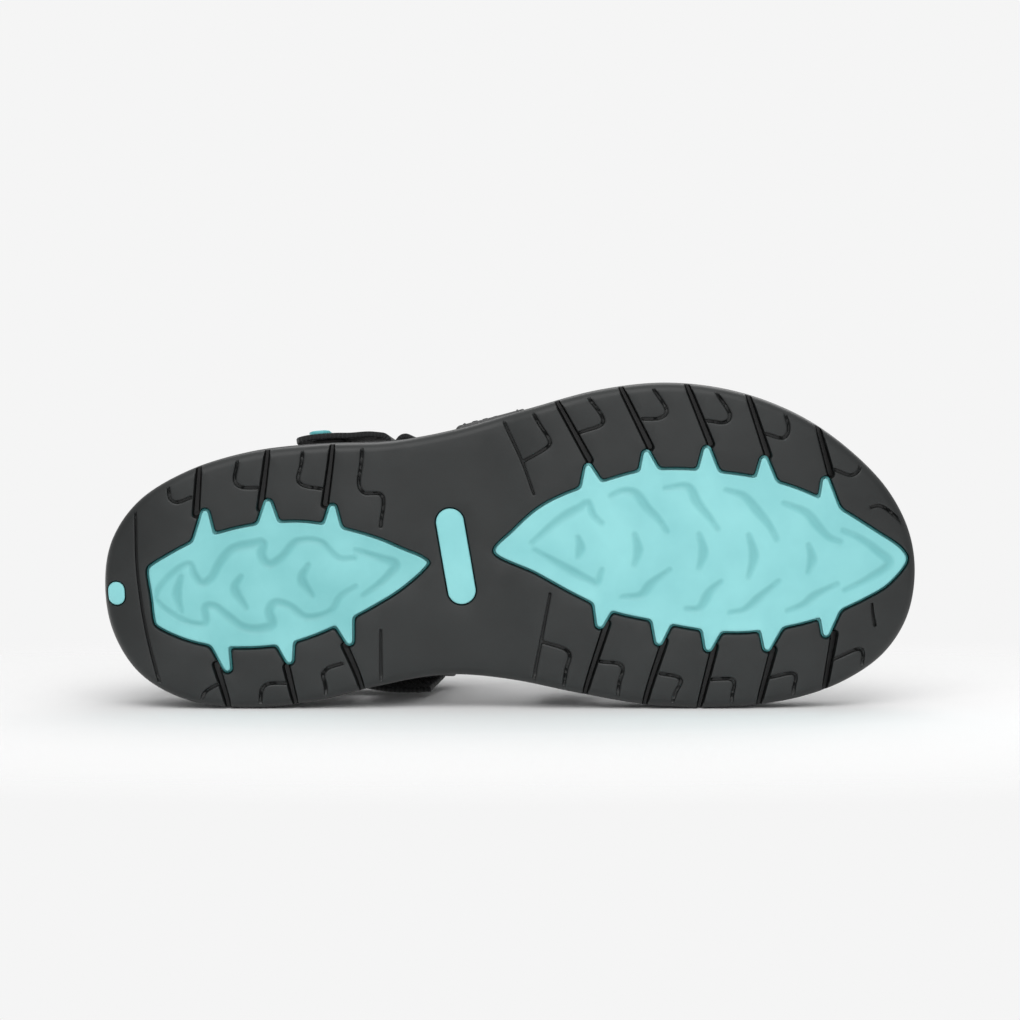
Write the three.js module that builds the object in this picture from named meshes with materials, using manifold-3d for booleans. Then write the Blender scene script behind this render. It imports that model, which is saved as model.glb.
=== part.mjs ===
// A strappy sport sandal for the right foot, in millimetres: +X towards the toe, +Y towards the
// inner (medial) side, +Z up, with the origin on the ground under the middle of the sole.
// The sole is a stack: a rubber outsole with two coloured tread pods, a foam midsole that holds a
// shock pad and a shank, and a footbed. The upper is made of webbing straps. Three of them pass
// through a rectangular ring and fold back on themselves under a hook-and-loop flap.
import * as THREE from "three";
import { mergeVertices } from "three/addons/utils/BufferGeometryUtils.js";
import Module from "manifold-3d";

const wasm = await Module();
wasm.setup();

// ---------- driving dimensions ----------
const GAP = 0.3; // clearance between touching pieces
const TREAD = 4.5; // outsole thickness at the lugs
const LIP = 10; // how far the outsole wraps up the side
const LIP_WALL = 2; // thickness of that wrap
const HEEL_STACK = 26; // ground to the midsole's top at the heel
const BALL_STACK = 17.5; // the same under the ball of the foot
const TOE_SPRING = 13; // rise of the toe tip above the ground
const HEEL_BEVEL = 5; // rise of the heel's back edge
const ARCH_RISE = 2; // how far the arch stays off the ground
const FOOTBED = 4.2; // footbed thickness
const FOOTBED_INSET = 6.2; // footbed edge, in from the sole's outline
const GROOVE_DEPTH = 3;
const GROOVE_WIDTH = 1.6;
const POD_RECESS = 0.9; // the pods' faces sit this far above the ground plane
const WEBBING = 1.8; // strap thickness
const TAB_PATCH = 1.2; // thickness of the coloured patch near a flap's tip
const LINING = 1.8; // soft lining thickness
const PAD = 4; // padded lining thickness
const PATCH = 1; // hook or loop patch thickness
const LAYER_GAP = 0.45; // clearance between layers that bend together
const SLOT_DEPTH = 7; // how deep a strap's end goes into the midsole
const BAR = 2.2; // ring bar thickness
const FOLD = 2.2; // inner radius of a strap's fold round a ring bar
const RING_REACH = 9; // distance between a ring's two bars
const STRAP_INSET = 4.9; // a strap's inner face, in from the sole's outline
const SEAT_HEIGHT = 12; // where a strap's end sits in the midsole
const INSTEP_LEAN = 0.38; // how far straps over the foot lean forward
const HEEL_LEAN = 0.2; // how far the heel strap tips up
const FACET = 5; // facet length along the straps
const WIDTH_FACETS = 2; // facets across a strap
const SIDE_FACETS = 44; // facets along the sole's side profile
const OUTLINE_POINTS = 84;

// ---------- small helpers ----------
const clamp01 = (t) => Math.min(1, Math.max(0, t));
const ease = (from, to, x) => {
  const t = clamp01((x - from) / (to - from));
  return t * t * (3 - 2 * t);
};
const mix = (a, b, t) => a + (b - a) * t;

function solidOf(geometry) {
  const bare = geometry.clone();
  bare.deleteAttribute("normal");
  bare.deleteAttribute("uv");
  const merged = mergeVertices(bare, 1e-4);
  return new wasm.Manifold(
    new wasm.Mesh({
      numProp: 3,
      vertProperties: new Float32Array(merged.attributes.position.array),
      triVerts: new Uint32Array(merged.index.array),
    }),
  );
}

function geometryOf(solid) {
  const mesh = solid.getMesh();
  const geometry = new THREE.BufferGeometry();
  geometry.setAttribute("position", new THREE.BufferAttribute(mesh.vertProperties, 3));
  geometry.setIndex(new THREE.BufferAttribute(mesh.triVerts, 1));
  return geometry;
}

const union = (solids) => solids.reduce((a, b) => a.add(b));

function material(color, roughness, metalness = 0) {
  return new THREE.MeshStandardMaterial({ color, roughness, metalness });
}

const FINISH = {
  rubber: material(0x3b3f40, 0.62),
  aqua: material(0x8fd6d8, 0.5),
  foam: material(0x2d3031, 0.85),
  footbed: material(0x46494b, 0.9),
  gel: material(0x5f8f94, 0.45),
  nylon: material(0x1c1d1f, 0.5),
  webbing: material(0x26282b, 0.9),
  lining: material(0x55524f, 0.95),
  moulded: material(0x1f2123, 0.4),
  hookLoop: material(0x17181a, 1),
};

function mesh(name, geometry, finish) {
  const made = new THREE.Mesh(geometry, FINISH[finish]);
  made.name = name;
  return made;
}

// ---------- the sole's plan and side profile ----------
// The outline runs from the back of the heel, along the outer side, round the toe and back.
const SOLE_PLAN = [
  [-130, 12], [-127.6, -1.5], [-119, -13.8], [-103, -23.6], [-84, -29.4], [-62, -32],
  [-38, -33], [-18, -36.6], [5, -43.2], [28, -49.4], [50, -51.7], [72, -48.9],
  [92, -41.3], [108, -30.4], [121, -17], [128, -3.5], [130, 10], [127.4, 24],
  [120, 35.2], [108, 43.4], [92, 49], [70, 51.7], [45, 51.2], [22, 47.4],
  [2, 43.4], [-20, 41.6], [-42, 45], [-62, 49.8], [-84, 52], [-104, 49.4],
  [-119, 41], [-127.6, 27.5],
];

function closedCurve(points) {
  const path = points.map(([x, y]) => new THREE.Vector3(x, y, 0));
  return new THREE.CatmullRomCurve3(path, true, "centripetal");
}

const soleCurve = closedCurve(SOLE_PLAN);

// The sole's outline moved in by a distance, as a shape.
function soleShape(inset) {
  const points = [];
  for (let i = 0; i < OUTLINE_POINTS; i += 1) {
    const u = i / OUTLINE_POINTS;
    const at = soleCurve.getPointAt(u);
    const along = soleCurve.getTangentAt(u);
    points.push(new THREE.Vector2(at.x - along.y * inset, at.y + along.x * inset));
  }
  return new THREE.Shape(points);
}

const toeSpringAt = (x) => TOE_SPRING * clamp01((x - 62) / 68) ** 2;
const heelBevelAt = (x) => HEEL_BEVEL * clamp01((-100 - x) / 30) ** 2;
const archAt = (x) => ARCH_RISE * ease(-44, -30, x) * (1 - ease(-4, 10, x));
const groundAt = (x) => toeSpringAt(x) + heelBevelAt(x) + archAt(x);
const topAt = (x) =>
  toeSpringAt(x) + mix(HEEL_STACK, BALL_STACK, ease(-75, 45, x)) - 3 * ease(90, 130, x);

function prism(shape, low, high) {
  const made = new THREE.ExtrudeGeometry(shape, {
    depth: high - low,
    bevelEnabled: false,
    curveSegments: 8,
  });
  return solidOf(made.translate(0, 0, low));
}

// The space between two heights that vary along X, as wide as the sole.
function slab(lowAt, highAt) {
  const start = -140;
  const end = 140;
  const points = [];
  for (let i = 0; i <= SIDE_FACETS; i += 1) {
    const x = mix(start, end, i / SIDE_FACETS);
    points.push(new THREE.Vector2(x, lowAt(x)));
  }
  for (let i = SIDE_FACETS; i >= 0; i -= 1) {
    const x = mix(start, end, i / SIDE_FACETS);
    points.push(new THREE.Vector2(x, highAt(x)));
  }
  const halfWidth = 70;
  const made = new THREE.ExtrudeGeometry(new THREE.Shape(points), {
    depth: 2 * halfWidth,
    bevelEnabled: false,
  });
  return solidOf(made.rotateX(Math.PI / 2).translate(0, halfWidth, 0));
}

const layer = (shape, lowAt, highAt) => prism(shape, -5, 60).intersect(slab(lowAt, highAt));

// ---------- tread pods ----------
// Each pod is a leaf with fingers: the leaf's outer and inner edges, its blunt end where it has
// one, and each finger as [base x, base y, tip x, tip y].
const POD_FINGER_BASE = 3.2;
const POD_FINGER_TIP = 1.2;
const FOREFOOT_POD = {
  outer: [[-6, 1.8], [1, -4.8], [10.6, -13.6], [25, -20], [43.6, -24.4], [62, -24.8],
    [80.8, -22], [101, -14.4], [114.5, -6.2], [126, 1.6]],
  inner: [[126.4, 9.4], [119.4, 14.7], [102, 22.6], [83, 27.6], [63.7, 28], [47.6, 25.4],
    [29.2, 20], [10, 10.6], [-6, 1.8]],
  fingers: [[25, -18, 24.3, -24.6], [43.6, -22, 42.1, -29.1], [62.4, -22, 61.9, -30.3],
    [80.8, -19.5, 80, -26.8], [101, -12.2, 99.9, -20.4], [29.2, 18, 27.9, 24.7],
    [47.6, 23, 46.6, 30.3], [63.7, 25.5, 62.4, 32.5], [83, 25.4, 81.7, 32.5],
    [101.9, 20.4, 99.9, 28.5]],
};
const HEEL_POD = {
  outer: [[-117, 6.8], [-109.4, 2.3], [-97.8, -3.2], [-77.2, -8], [-57, -7.2],
    [-43.6, -3.5], [-33, 0.5], [-25.6, 5.4]],
  inner: [[-26.6, 8.2], [-33, 13.4], [-41, 18.8], [-52.8, 25.2], [-71.6, 31.6],
    [-91.8, 33.4], [-102.1, 31.3], [-114.3, 25.2]],
  fingers: [[-97.8, -1, -97.4, -10.8], [-77.2, -5.5, -77.4, -13.8], [-57, -4.8, -56.9, -11.5],
    [-91.8, 31, -90.2, 39.3], [-71.6, 29.5, -70.9, 36.3], [-52.8, 23, -50.9, 30.5]],
};

function leafShape(pod, grow) {
  const side = (points) =>
    new THREE.SplineCurve(points.map(([x, y]) => new THREE.Vector2(x, y))).getPoints(16);
  const ring = [...side(pod.outer), ...side(pod.inner)];
  const kept = ring.filter((p, i) => p.distanceTo(ring[(i + 1) % ring.length]) > 0.2);
  return new THREE.Shape(growRing(kept, grow));
}

// Moves each point of an anticlockwise ring outwards by a distance.
function growRing(ring, distance) {
  return ring.map((p, i) => {
    const before = ring[(i + ring.length - 1) % ring.length];
    const after = ring[(i + 1) % ring.length];
    const along = after.clone().sub(before).normalize();
    return new THREE.Vector2(p.x + along.y * distance, p.y - along.x * distance);
  });
}

function fingerShape([baseX, baseY, tipX, tipY], grow) {
  const along = new THREE.Vector2(tipX - baseX, tipY - baseY);
  const length = along.length();
  const angle = along.angle();
  const base = POD_FINGER_BASE + grow;
  const tip = POD_FINGER_TIP + grow;
  const points = [new THREE.Vector2(0, base), new THREE.Vector2(0, -base)];
  for (let i = 0; i <= 4; i += 1) {
    const turn = -Math.PI / 2 + (Math.PI * i) / 4;
    points.push(new THREE.Vector2(length + tip * Math.cos(turn), tip * Math.sin(turn)));
  }
  const origin = new THREE.Vector2();
  const placed = points.map((p) =>
    p.rotateAround(origin, angle).add(new THREE.Vector2(baseX, baseY)),
  );
  return new THREE.Shape(placed);
}

const podPrism = (pod, grow, low, high) =>
  union([
    prism(leafShape(pod, grow), low, high),
    ...pod.fingers.map((finger) => prism(fingerShape(finger, grow), low, high)),
  ]);

function makePod(pod) {
  const floor = slab(
    (x) => groundAt(x) + POD_RECESS,
    (x) => groundAt(x) + TREAD,
  );
  return geometryOf(podPrism(pod, -GAP, -5, 40).intersect(floor));
}

// ---------- outsole ----------
// Each tread groove runs from a pod finger out through the edge: [x, y, x, y].
const GROOVES = [
  [26.1, -27.2, 13.5, -48], [44.2, -31.6, 33.5, -54], [63, -33, 56, -54],
  [81.4, -29.4, 74, -51], [102, -23, 96, -42], [30, 27.4, 24, 51], [48.6, 33, 43, 55],
  [64.4, 35.2, 59.5, 55], [84, 35, 79, 54], [103, 31, 99.5, 49],
  [-100.2, -13.4, -99.2, -28], [-78.8, -16.4, -77.6, -34], [-58.6, -14.2, -56.6, -36],
  [-92.6, 41.8, -89.4, 56], [-72, 39, -69, 54], [-52.6, 33, -47.4, 48],
];
const HEEL_SLIT = [-119.4, -8, -116.6, 10, -113.4, 30, -110.4, 47];

function stroke(points, width) {
  const bars = [];
  for (let i = 0; i + 3 < points.length; i += 2) {
    const from = new THREE.Vector2(points[i], points[i + 1]);
    const to = new THREE.Vector2(points[i + 2], points[i + 3]);
    const along = to.clone().sub(from);
    const length = along.length() + width / 2;
    const bar = new THREE.BoxGeometry(length, width, 60);
    bar.rotateZ(along.angle());
    const middle = from.add(along.setLength(length / 2));
    bars.push(solidOf(bar.translate(middle.x, middle.y, 0)));
  }
  return union(bars);
}

function makeOutsole() {
  const body = layer(soleShape(0), groundAt, (x) => groundAt(x) + LIP);
  const hollow = layer(
    soleShape(LIP_WALL),
    (x) => groundAt(x) + TREAD,
    () => 50,
  );
  const grooves = union([
    ...GROOVES.map((points) => stroke(points, GROOVE_WIDTH)),
    stroke(HEEL_SLIT, GROOVE_WIDTH),
  ]).intersect(
    slab(
      () => -5,
      (x) => groundAt(x) + GROOVE_DEPTH,
    ),
  );
  const windows = union([
    podPrism(HEEL_POD, 0, -5, 40),
    podPrism(FOREFOOT_POD, 0, -5, 40),
  ]).intersect(
    slab(
      () => -5,
      (x) => groundAt(x) + TREAD + 0.05,
    ),
  );
  const seats = union([badgePrism(ARCH_BADGE, GAP), heelBadgeSolid(GAP)]);
  return body.subtract(hollow).subtract(grooves).subtract(windows).subtract(seats);
}

// ---------- plain badges ----------
const ARCH_BADGE = { x: -17.6, y: 3.5, length: 31, width: 9, turn: 1.4, height: 1.6 };
const HEEL_BADGE = { x: -128.6, y: 16.5, radius: 3.2, depth: 1.4 };

function badgePrism(badge, grow) {
  const radius = badge.width / 2 + grow;
  const reach = (badge.length - badge.width) / 2;
  const shape = new THREE.Shape();
  shape.absarc(reach, 0, radius, -Math.PI / 2, Math.PI / 2);
  shape.absarc(-reach, 0, radius, Math.PI / 2, (3 * Math.PI) / 2);
  const made = new THREE.ExtrudeGeometry(shape, {
    depth: badge.height + grow,
    bevelEnabled: false,
    curveSegments: 10,
  });
  const low = groundAt(badge.x) + 0.1 - grow;
  return solidOf(made.rotateZ(badge.turn).translate(badge.x, badge.y, low));
}

// A short round plug that faces back and down out of the heel's bevel.
function heelBadgeSolid(grow) {
  const plug = new THREE.CylinderGeometry(
    HEEL_BADGE.radius + grow,
    HEEL_BADGE.radius + grow,
    HEEL_BADGE.depth + 2 * grow,
    20,
  );
  plug.rotateZ(Math.PI / 2);
  return solidOf(plug.translate(HEEL_BADGE.x, HEEL_BADGE.y, groundAt(-130) + 4.6));
}

// ---------- strap routes ----------
// A route is the line of a strap's inner face over the foot. Its outward direction points away
// from the foot's core, and its frame gives the strap's length, thickness and width directions.
class Route {
  constructor(points, outward) {
    const path = points.map(([x, y, z]) => new THREE.Vector3(x, y, z));
    this.curve = new THREE.CatmullRomCurve3(path, false, "centripetal");
    this.length = this.curve.getLength();
    this.outward = outward;
  }

  frame(distance) {
    const inside = Math.min(this.length, Math.max(0, distance));
    const u = inside / this.length;
    const along = this.curve.getTangentAt(u).normalize();
    const at = this.curve.getPointAt(u).addScaledVector(along, distance - inside);
    const out = this.outward(at);
    out.addScaledVector(along, -out.dot(along)).normalize();
    const across = new THREE.Vector3().crossVectors(along, out);
    return { at, along, out, across };
  }

  // The frame at a distance as a matrix: X along, Y out, Z across.
  matrix(distance) {
    const { at, along, out, across } = this.frame(distance);
    return new THREE.Matrix4().makeBasis(along, out, across).setPosition(at);
  }
}

// The sole's edge at an X, on the inner (side 1) or outer (side -1) side of the foot.
const rim = soleCurve.getSpacedPoints(360);
function edgeAt(x, side) {
  let best = 0;
  for (let i = 0; i + 1 < rim.length; i += 1) {
    const [a, b] = [rim[i], rim[i + 1]];
    if ((a.x - x) * (b.x - x) <= 0 && a.x !== b.x) {
      const y = mix(a.y, b.y, (x - a.x) / (b.x - a.x));
      if (side * y > side * best) best = y;
    }
  }
  return best;
}

// Where a strap enters the midsole at an X: its inner face, just outside the footbed.
const seat = (x, side) => [x, edgeAt(x, side) - side * STRAP_INSET, SEAT_HEIGHT];

// Outward over the foot: round its core, in line with the sole's edge at the sides and leaning
// forward over the slope of the instep on top.
function overFoot(p) {
  const [y, z] = [p.y - 3, p.z - 34];
  const slope = (edgeAt(p.x + 8, Math.sign(y)) - edgeAt(p.x - 8, Math.sign(y))) / 16;
  const onTop = clamp01(1 - (y / 44) ** 2);
  return new THREE.Vector3(INSTEP_LEAN * Math.max(0, z) * onTop - slope * y, y, z);
}

// Outward round the back of the heel, tipped up a little because the ankle narrows upwards.
function roundHeel(p) {
  const ahead = p.x + 82;
  const back = (ahead - Math.hypot(ahead, 20)) / 2;
  const out = new THREE.Vector3(back, p.y - 9, 0);
  return out.setZ(HEEL_LEAN * out.length());
}

// Outward on the quarters, which turn from the sole's edge into line with the heel strap.
const upTheSide = (p) =>
  overFoot(p).normalize().lerp(roundHeel(p).normalize(), ease(18, 52, p.z));

const TOE = new Route(
  [seat(75, 1), [75, 46.8, 26], [72, 42.5, 41], [61, 22, 53.5], [47, 0, 57.5],
    [34, -21, 56], [26, -38, 45], [23, -43.2, 30], seat(23, -1)],
  overFoot,
);
const CROSS = new Route(
  [seat(19, 1), [19, 43.2, 28], [22, 39, 49], [33, 20, 61.8], [47, 0, 62.8],
    [60, -20, 56.5], [69, -37.5, 44], [73, -44.4, 30], seat(73, -1)],
  overFoot,
);
const INSTEP = new Route(
  [seat(-5.5, -1), [-5.5, -36.2, 30], [-6, -37, 45], [-7.5, -32.4, 66], [-10.5, -18.6, 86.5],
    [-15, 4, 95], [-21, 26, 88], [-29, 40, 68], [-33, 43.8, 48], [-35, 42.4, 32],
    seat(-35, 1)],
  overFoot,
);
const HEEL = new Route(
  [[-24, 47.4, 45], [-36, 48, 48.5], [-48, 46.6, 54], [-62, 43.4, 60], [-80, 37.6, 68],
    [-98, 28.5, 75], [-109, 14, 78], [-109, 3, 78], [-98, -11.2, 76], [-80, -20.4, 73],
    [-58, -24.2, 71], [-38, -23.3, 68], [-28, -23.6, 65.5], [-18.5, -25.8, 62],
    [-8, -30, 58], [1, -32.6, 55]],
  roundHeel,
);
const LATERAL_QUARTER = new Route(
  [seat(-50, -1), [-50, -28.4, 30], [-50, -25.6, 46], [-50, -22, 60], [-50, -18.6, 77]],
  upTheSide,
);
const MEDIAL_QUARTER = new Route(
  [seat(-56, 1), [-56.5, 44.4, 30], [-57, 42.2, 44], [-57.5, 39, 56], [-58, 36.6, 66]],
  upTheSide,
);

// The distances at which a band's facets meet. Bands on one route share them, so that layers of
// different length stay parallel.
function facetsBetween(from, to) {
  const stops = [from];
  for (let i = Math.ceil((from + 1) / FACET); i * FACET < to - 1; i += 1) stops.push(i * FACET);
  return [...stops, to];
}

// Bends a geometry drawn along a straight strap, with X along it, Y out and Z across, onto a
// route. X = 0 lands at the distance start.
function bendOnto(route, geometry, start = 0) {
  const place = geometry.attributes.position;
  for (let i = 0; i < place.count; i += 1) {
    const { at, out, across } = route.frame(start + place.getX(i));
    at.addScaledVector(out, place.getY(i)).addScaledVector(across, place.getZ(i));
    place.setXYZ(i, at.x, at.y, at.z);
  }
  return geometry;
}

// A flat band along a route. It spans heights low to high above the route, plus what lift adds at
// each distance, and taper narrows it.
function band(route, { from, to, width, low, high, lift = () => 0, taper = () => 1 }) {
  const stops = facetsBetween(from, to);
  const steps = stops.length - 1;
  const box = new THREE.BoxGeometry(steps, high - low, width, steps, 1, WIDTH_FACETS);
  const place = box.attributes.position;
  for (let i = 0; i < place.count; i += 1) {
    const distance = stops[Math.round(place.getX(i) + steps / 2)];
    const height = place.getY(i) + (low + high) / 2 + lift(distance);
    place.setXYZ(i, distance, height, place.getZ(i) * taper(distance));
  }
  return solidOf(bendOnto(route, box));
}

// The hole in the midsole that takes a strap's end.
function slotFor(route, atEnd, width) {
  const from = atEnd ? route.length - SLOT_DEPTH - 8 : -0.5;
  const to = atEnd ? route.length + 0.5 : SLOT_DEPTH + 8;
  return band(route, { from, to, width: width + 2 * GAP, low: -GAP, high: WEBBING + GAP });
}

// ---------- rings, folds and flaps ----------
// A half or whole turn of webbing round a ring bar, in the ring's frame, with a tail each side.
function foldGeometry(side, width, whole) {
  const outer = FOLD + WEBBING;
  const shape = new THREE.Shape();
  const tail = 3;
  if (whole) {
    shape.absarc(0, 0, outer, 0, 2 * Math.PI);
    const hole = new THREE.Path();
    hole.absarc(0, 0, FOLD, 0, 2 * Math.PI);
    shape.holes.push(hole);
  } else {
    shape.moveTo(-side * tail, -outer);
    shape.lineTo(0, -outer);
    shape.absarc(0, 0, outer, -Math.PI / 2, Math.PI / 2, side < 0);
    shape.lineTo(-side * tail, outer);
    shape.lineTo(-side * tail, FOLD);
    shape.lineTo(0, FOLD);
    shape.absarc(0, 0, FOLD, Math.PI / 2, -Math.PI / 2, side > 0);
    shape.lineTo(-side * tail, -FOLD);
    shape.closePath();
  }
  const made = new THREE.ExtrudeGeometry(shape, {
    depth: width,
    bevelEnabled: false,
    curveSegments: 9,
  });
  return made.translate(0, FOLD + WEBBING, -width / 2);
}

// A moulded ring with two bars across the strap, bevelled all round, in the ring's frame.
function ringGeometry(width) {
  const half = RING_REACH / 2;
  const bevel = 0.5;
  const flat = BAR / 2 - bevel;
  const inside = width / 2 + 0.7;
  const rect = (x, y, target) => {
    const corner = 1.2;
    target.moveTo(-x + corner, -y);
    target.lineTo(x - corner, -y);
    target.quadraticCurveTo(x, -y, x, -y + corner);
    target.lineTo(x, y - corner);
    target.quadraticCurveTo(x, y, x - corner, y);
    target.lineTo(-x + corner, y);
    target.quadraticCurveTo(-x, y, -x, y - corner);
    target.lineTo(-x, -y + corner);
    target.quadraticCurveTo(-x, -y, -x + corner, -y);
    return target;
  };
  const shape = rect(half + flat, inside + BAR - bevel, new THREE.Shape());
  shape.holes.push(rect(half - flat, inside + bevel, new THREE.Path()));
  const made = new THREE.ExtrudeGeometry(shape, {
    depth: BAR - 2 * bevel,
    bevelThickness: bevel,
    bevelSize: bevel,
    bevelSegments: 1,
    curveSegments: 2,
  });
  made.translate(0, 0, bevel - BAR / 2);
  return made.rotateX(Math.PI / 2).translate(0, FOLD + WEBBING, 0);
}

// Builds one hook-and-loop closure. The strap runs along its route to the ring at ringAt, folds
// round the near bar and ends in a flap that lies back on the strap. side is +1 where the strap
// reaches the ring from lower distances, and -1 from higher ones.
function makeClosure(name, route, size) {
  const { width, ringAt, side, strapFrom, anchorTo, flapLength } = size;
  const group = new THREE.Group();
  const frame = route.matrix(ringAt);
  const nearBar = ringAt - (side * RING_REACH) / 2;
  const farBar = ringAt + (side * RING_REACH) / 2;
  const strapEnd = ringAt - side * (RING_REACH / 2 + 1);
  const anchorStart = ringAt + side * (RING_REACH / 2 + 1);
  const ordered = (a, b) => ({ from: Math.min(a, b), to: Math.max(a, b) });

  const strap = band(route, { ...ordered(strapFrom, strapEnd), width, low: 0, high: WEBBING });
  const fold = solidOf(bendOnto(route, foldGeometry(side, width, false), nearBar));
  const anchor = band(route, { ...ordered(anchorStart, anchorTo), width, low: 0, high: WEBBING });
  const eye = solidOf(bendOnto(route, foldGeometry(side, width, true), farBar));
  group.add(mesh(`${name}_strap`, geometryOf(strap.add(fold)), "webbing"));
  group.add(mesh(`${name}_anchor`, geometryOf(anchor.add(eye)), "webbing"));

  const ring = mesh(`${name}_ring`, ringGeometry(width), "moulded");
  ring.applyMatrix4(frame);
  group.add(ring);

  // The flap starts behind the fold's tail and settles onto the patches.
  const stack = WEBBING + 2 * PATCH + 3 * LAYER_GAP;
  const foldTop = 2 * FOLD + WEBBING;
  const flapStart = ringAt - side * (RING_REACH / 2 + 3 + GAP);
  const flapEnd = flapStart - side * flapLength;
  const awayFromFold = (distance) => Math.abs(distance - flapStart);
  const lift = (distance) => (foldTop - stack) * (1 - ease(0, 9, awayFromFold(distance)));
  const rounded = (distance) => {
    const left = flapLength - awayFromFold(distance);
    return left < 6 ? mix(0.7, 1, ease(-2, 6, left)) : 1;
  };
  const flap = band(route, {
    ...ordered(flapStart, flapEnd), width, low: stack, high: stack + WEBBING, lift, taper: rounded,
  });
  group.add(mesh(`${name}_flap`, geometryOf(flap), "webbing"));
  const patchStart = flapStart - side * 9;
  const patchEnd = flapEnd + side * 5;
  group.add(
    mesh(
      `${name}_loop_patch`,
      geometryOf(
        band(route, {
          ...ordered(patchStart + side * 2, patchEnd - side * 7),
          width: width - 3, low: WEBBING + LAYER_GAP, high: WEBBING + LAYER_GAP + PATCH,
        }),
      ),
      "hookLoop",
    ),
    mesh(
      `${name}_hook_patch`,
      geometryOf(
        band(route, {
          ...ordered(patchStart, patchEnd),
          width: width - 4, low: stack - LAYER_GAP - PATCH, high: stack - LAYER_GAP,
        }),
      ),
      "hookLoop",
    ),
    mesh(
      `${name}_pull_tab`,
      geometryOf(
        band(route, {
          ...ordered(flapEnd + side * 11, flapEnd + side * 4.5),
          width: width - 3, low: stack + WEBBING + LAYER_GAP,
          high: stack + WEBBING + LAYER_GAP + TAB_PATCH,
          taper: rounded,
        }),
      ),
      "aqua",
    ),
  );

  // Where the flap and the ring turn, for whoever animates the group.
  const crease = route.frame(flapStart + side * 0.15);
  crease.at.addScaledVector(crease.out, foldTop + WEBBING + 0.1);
  const eyeCentre = new THREE.Vector3((side * RING_REACH) / 2, FOLD + WEBBING, 0);
  const ringFrame = route.frame(ringAt);
  group.userData = {
    name,
    flap: { point: crease.at.toArray(), axis: crease.across.multiplyScalar(-side).toArray() },
    ring: { point: eyeCentre.applyMatrix4(frame).toArray(), axis: ringFrame.across.toArray() },
  };
  return group;
}

const STRAP_WIDTH = { toe: 18, quarter: 15 };
const CLOSURES = {
  cross: {
    route: CROSS, width: 18, ringAt: CROSS.length - 51, side: 1, strapFrom: 0,
    anchorTo: CROSS.length, flapLength: 34,
  },
  instep: {
    route: INSTEP, width: 22, ringAt: INSTEP.length - 60, side: 1, strapFrom: 0,
    anchorTo: INSTEP.length, flapLength: 42,
  },
  heel: {
    route: HEEL, width: 18, ringAt: HEEL.length - 42, side: 1, strapFrom: 0,
    anchorTo: HEEL.length, flapLength: 25,
  },
};

// ---------- the sole unit ----------
const SHOCK_PAD = { x: -84, y: 11, length: 52, width: 40, depth: 9 };
const SHANK = { from: -54, to: 14, width: 26, thickness: 1.6 };

function shockPadSolid(grow) {
  const shape = new THREE.Shape();
  shape.absellipse(0, 0, SHOCK_PAD.length / 2 + grow, SHOCK_PAD.width / 2 + grow, 0, 2 * Math.PI);
  const low = HEEL_STACK - SHOCK_PAD.depth;
  const solid = prism(shape, low - grow, grow > 0 ? 60 : HEEL_STACK - 0.8);
  return solid.translate([SHOCK_PAD.x, SHOCK_PAD.y, 0]);
}

// The shank is a thin plate let into the midsole's underside, over the arch. Heights are above
// the outsole's inner floor.
function shankSolid(grow, low, high) {
  const { from, to, width } = SHANK;
  const half = width / 2 + grow;
  const shape = new THREE.Shape();
  shape.moveTo(from - grow, 8 - half);
  shape.quadraticCurveTo((from + to) / 2, 6 - half * 0.5, to + grow, 2 - half);
  shape.lineTo(to + grow, 2 + half);
  shape.quadraticCurveTo((from + to) / 2, 6 + half * 0.5, from - grow, 8 + half);
  shape.closePath();
  return layer(
    shape,
    (x) => groundAt(x) + TREAD + low,
    (x) => groundAt(x) + TREAD + high,
  );
}

function makeMidsole() {
  const lower = layer(soleShape(LIP_WALL + GAP), (x) => groundAt(x) + TREAD + GAP, topAt);
  const upper = layer(soleShape(0.6), (x) => groundAt(x) + LIP + GAP, topAt);
  const slots = union([
    slotFor(TOE, false, STRAP_WIDTH.toe),
    slotFor(TOE, true, STRAP_WIDTH.toe),
    slotFor(CROSS, false, CLOSURES.cross.width),
    slotFor(CROSS, true, CLOSURES.cross.width),
    slotFor(INSTEP, false, CLOSURES.instep.width),
    slotFor(INSTEP, true, CLOSURES.instep.width),
    slotFor(LATERAL_QUARTER, false, STRAP_WIDTH.quarter),
    slotFor(MEDIAL_QUARTER, false, STRAP_WIDTH.quarter),
  ]);
  return lower.add(upper).subtract(slots).subtract(shockPadSolid(GAP)).subtract(
    shankSolid(GAP, -1, SHANK.thickness + 3 * GAP),
  );
}

function makeFootbed() {
  const base = (x) => topAt(x) + GAP;
  const plate = layer(soleShape(FOOTBED_INSET), base, (x) => base(x) + FOOTBED);
  const rim = layer(
    soleShape(FOOTBED_INSET),
    (x) => base(x) + 1,
    (x) => base(x) + FOOTBED + 1.4 + 3.6 * (1 - ease(-90, -20, x)),
  ).subtract(prism(soleShape(FOOTBED_INSET + 3.4), -5, 80));
  return plate.add(rim);
}

// ---------- assembly ----------
const sandal = new THREE.Group();
sandal.name = "sport_sandal";

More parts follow.
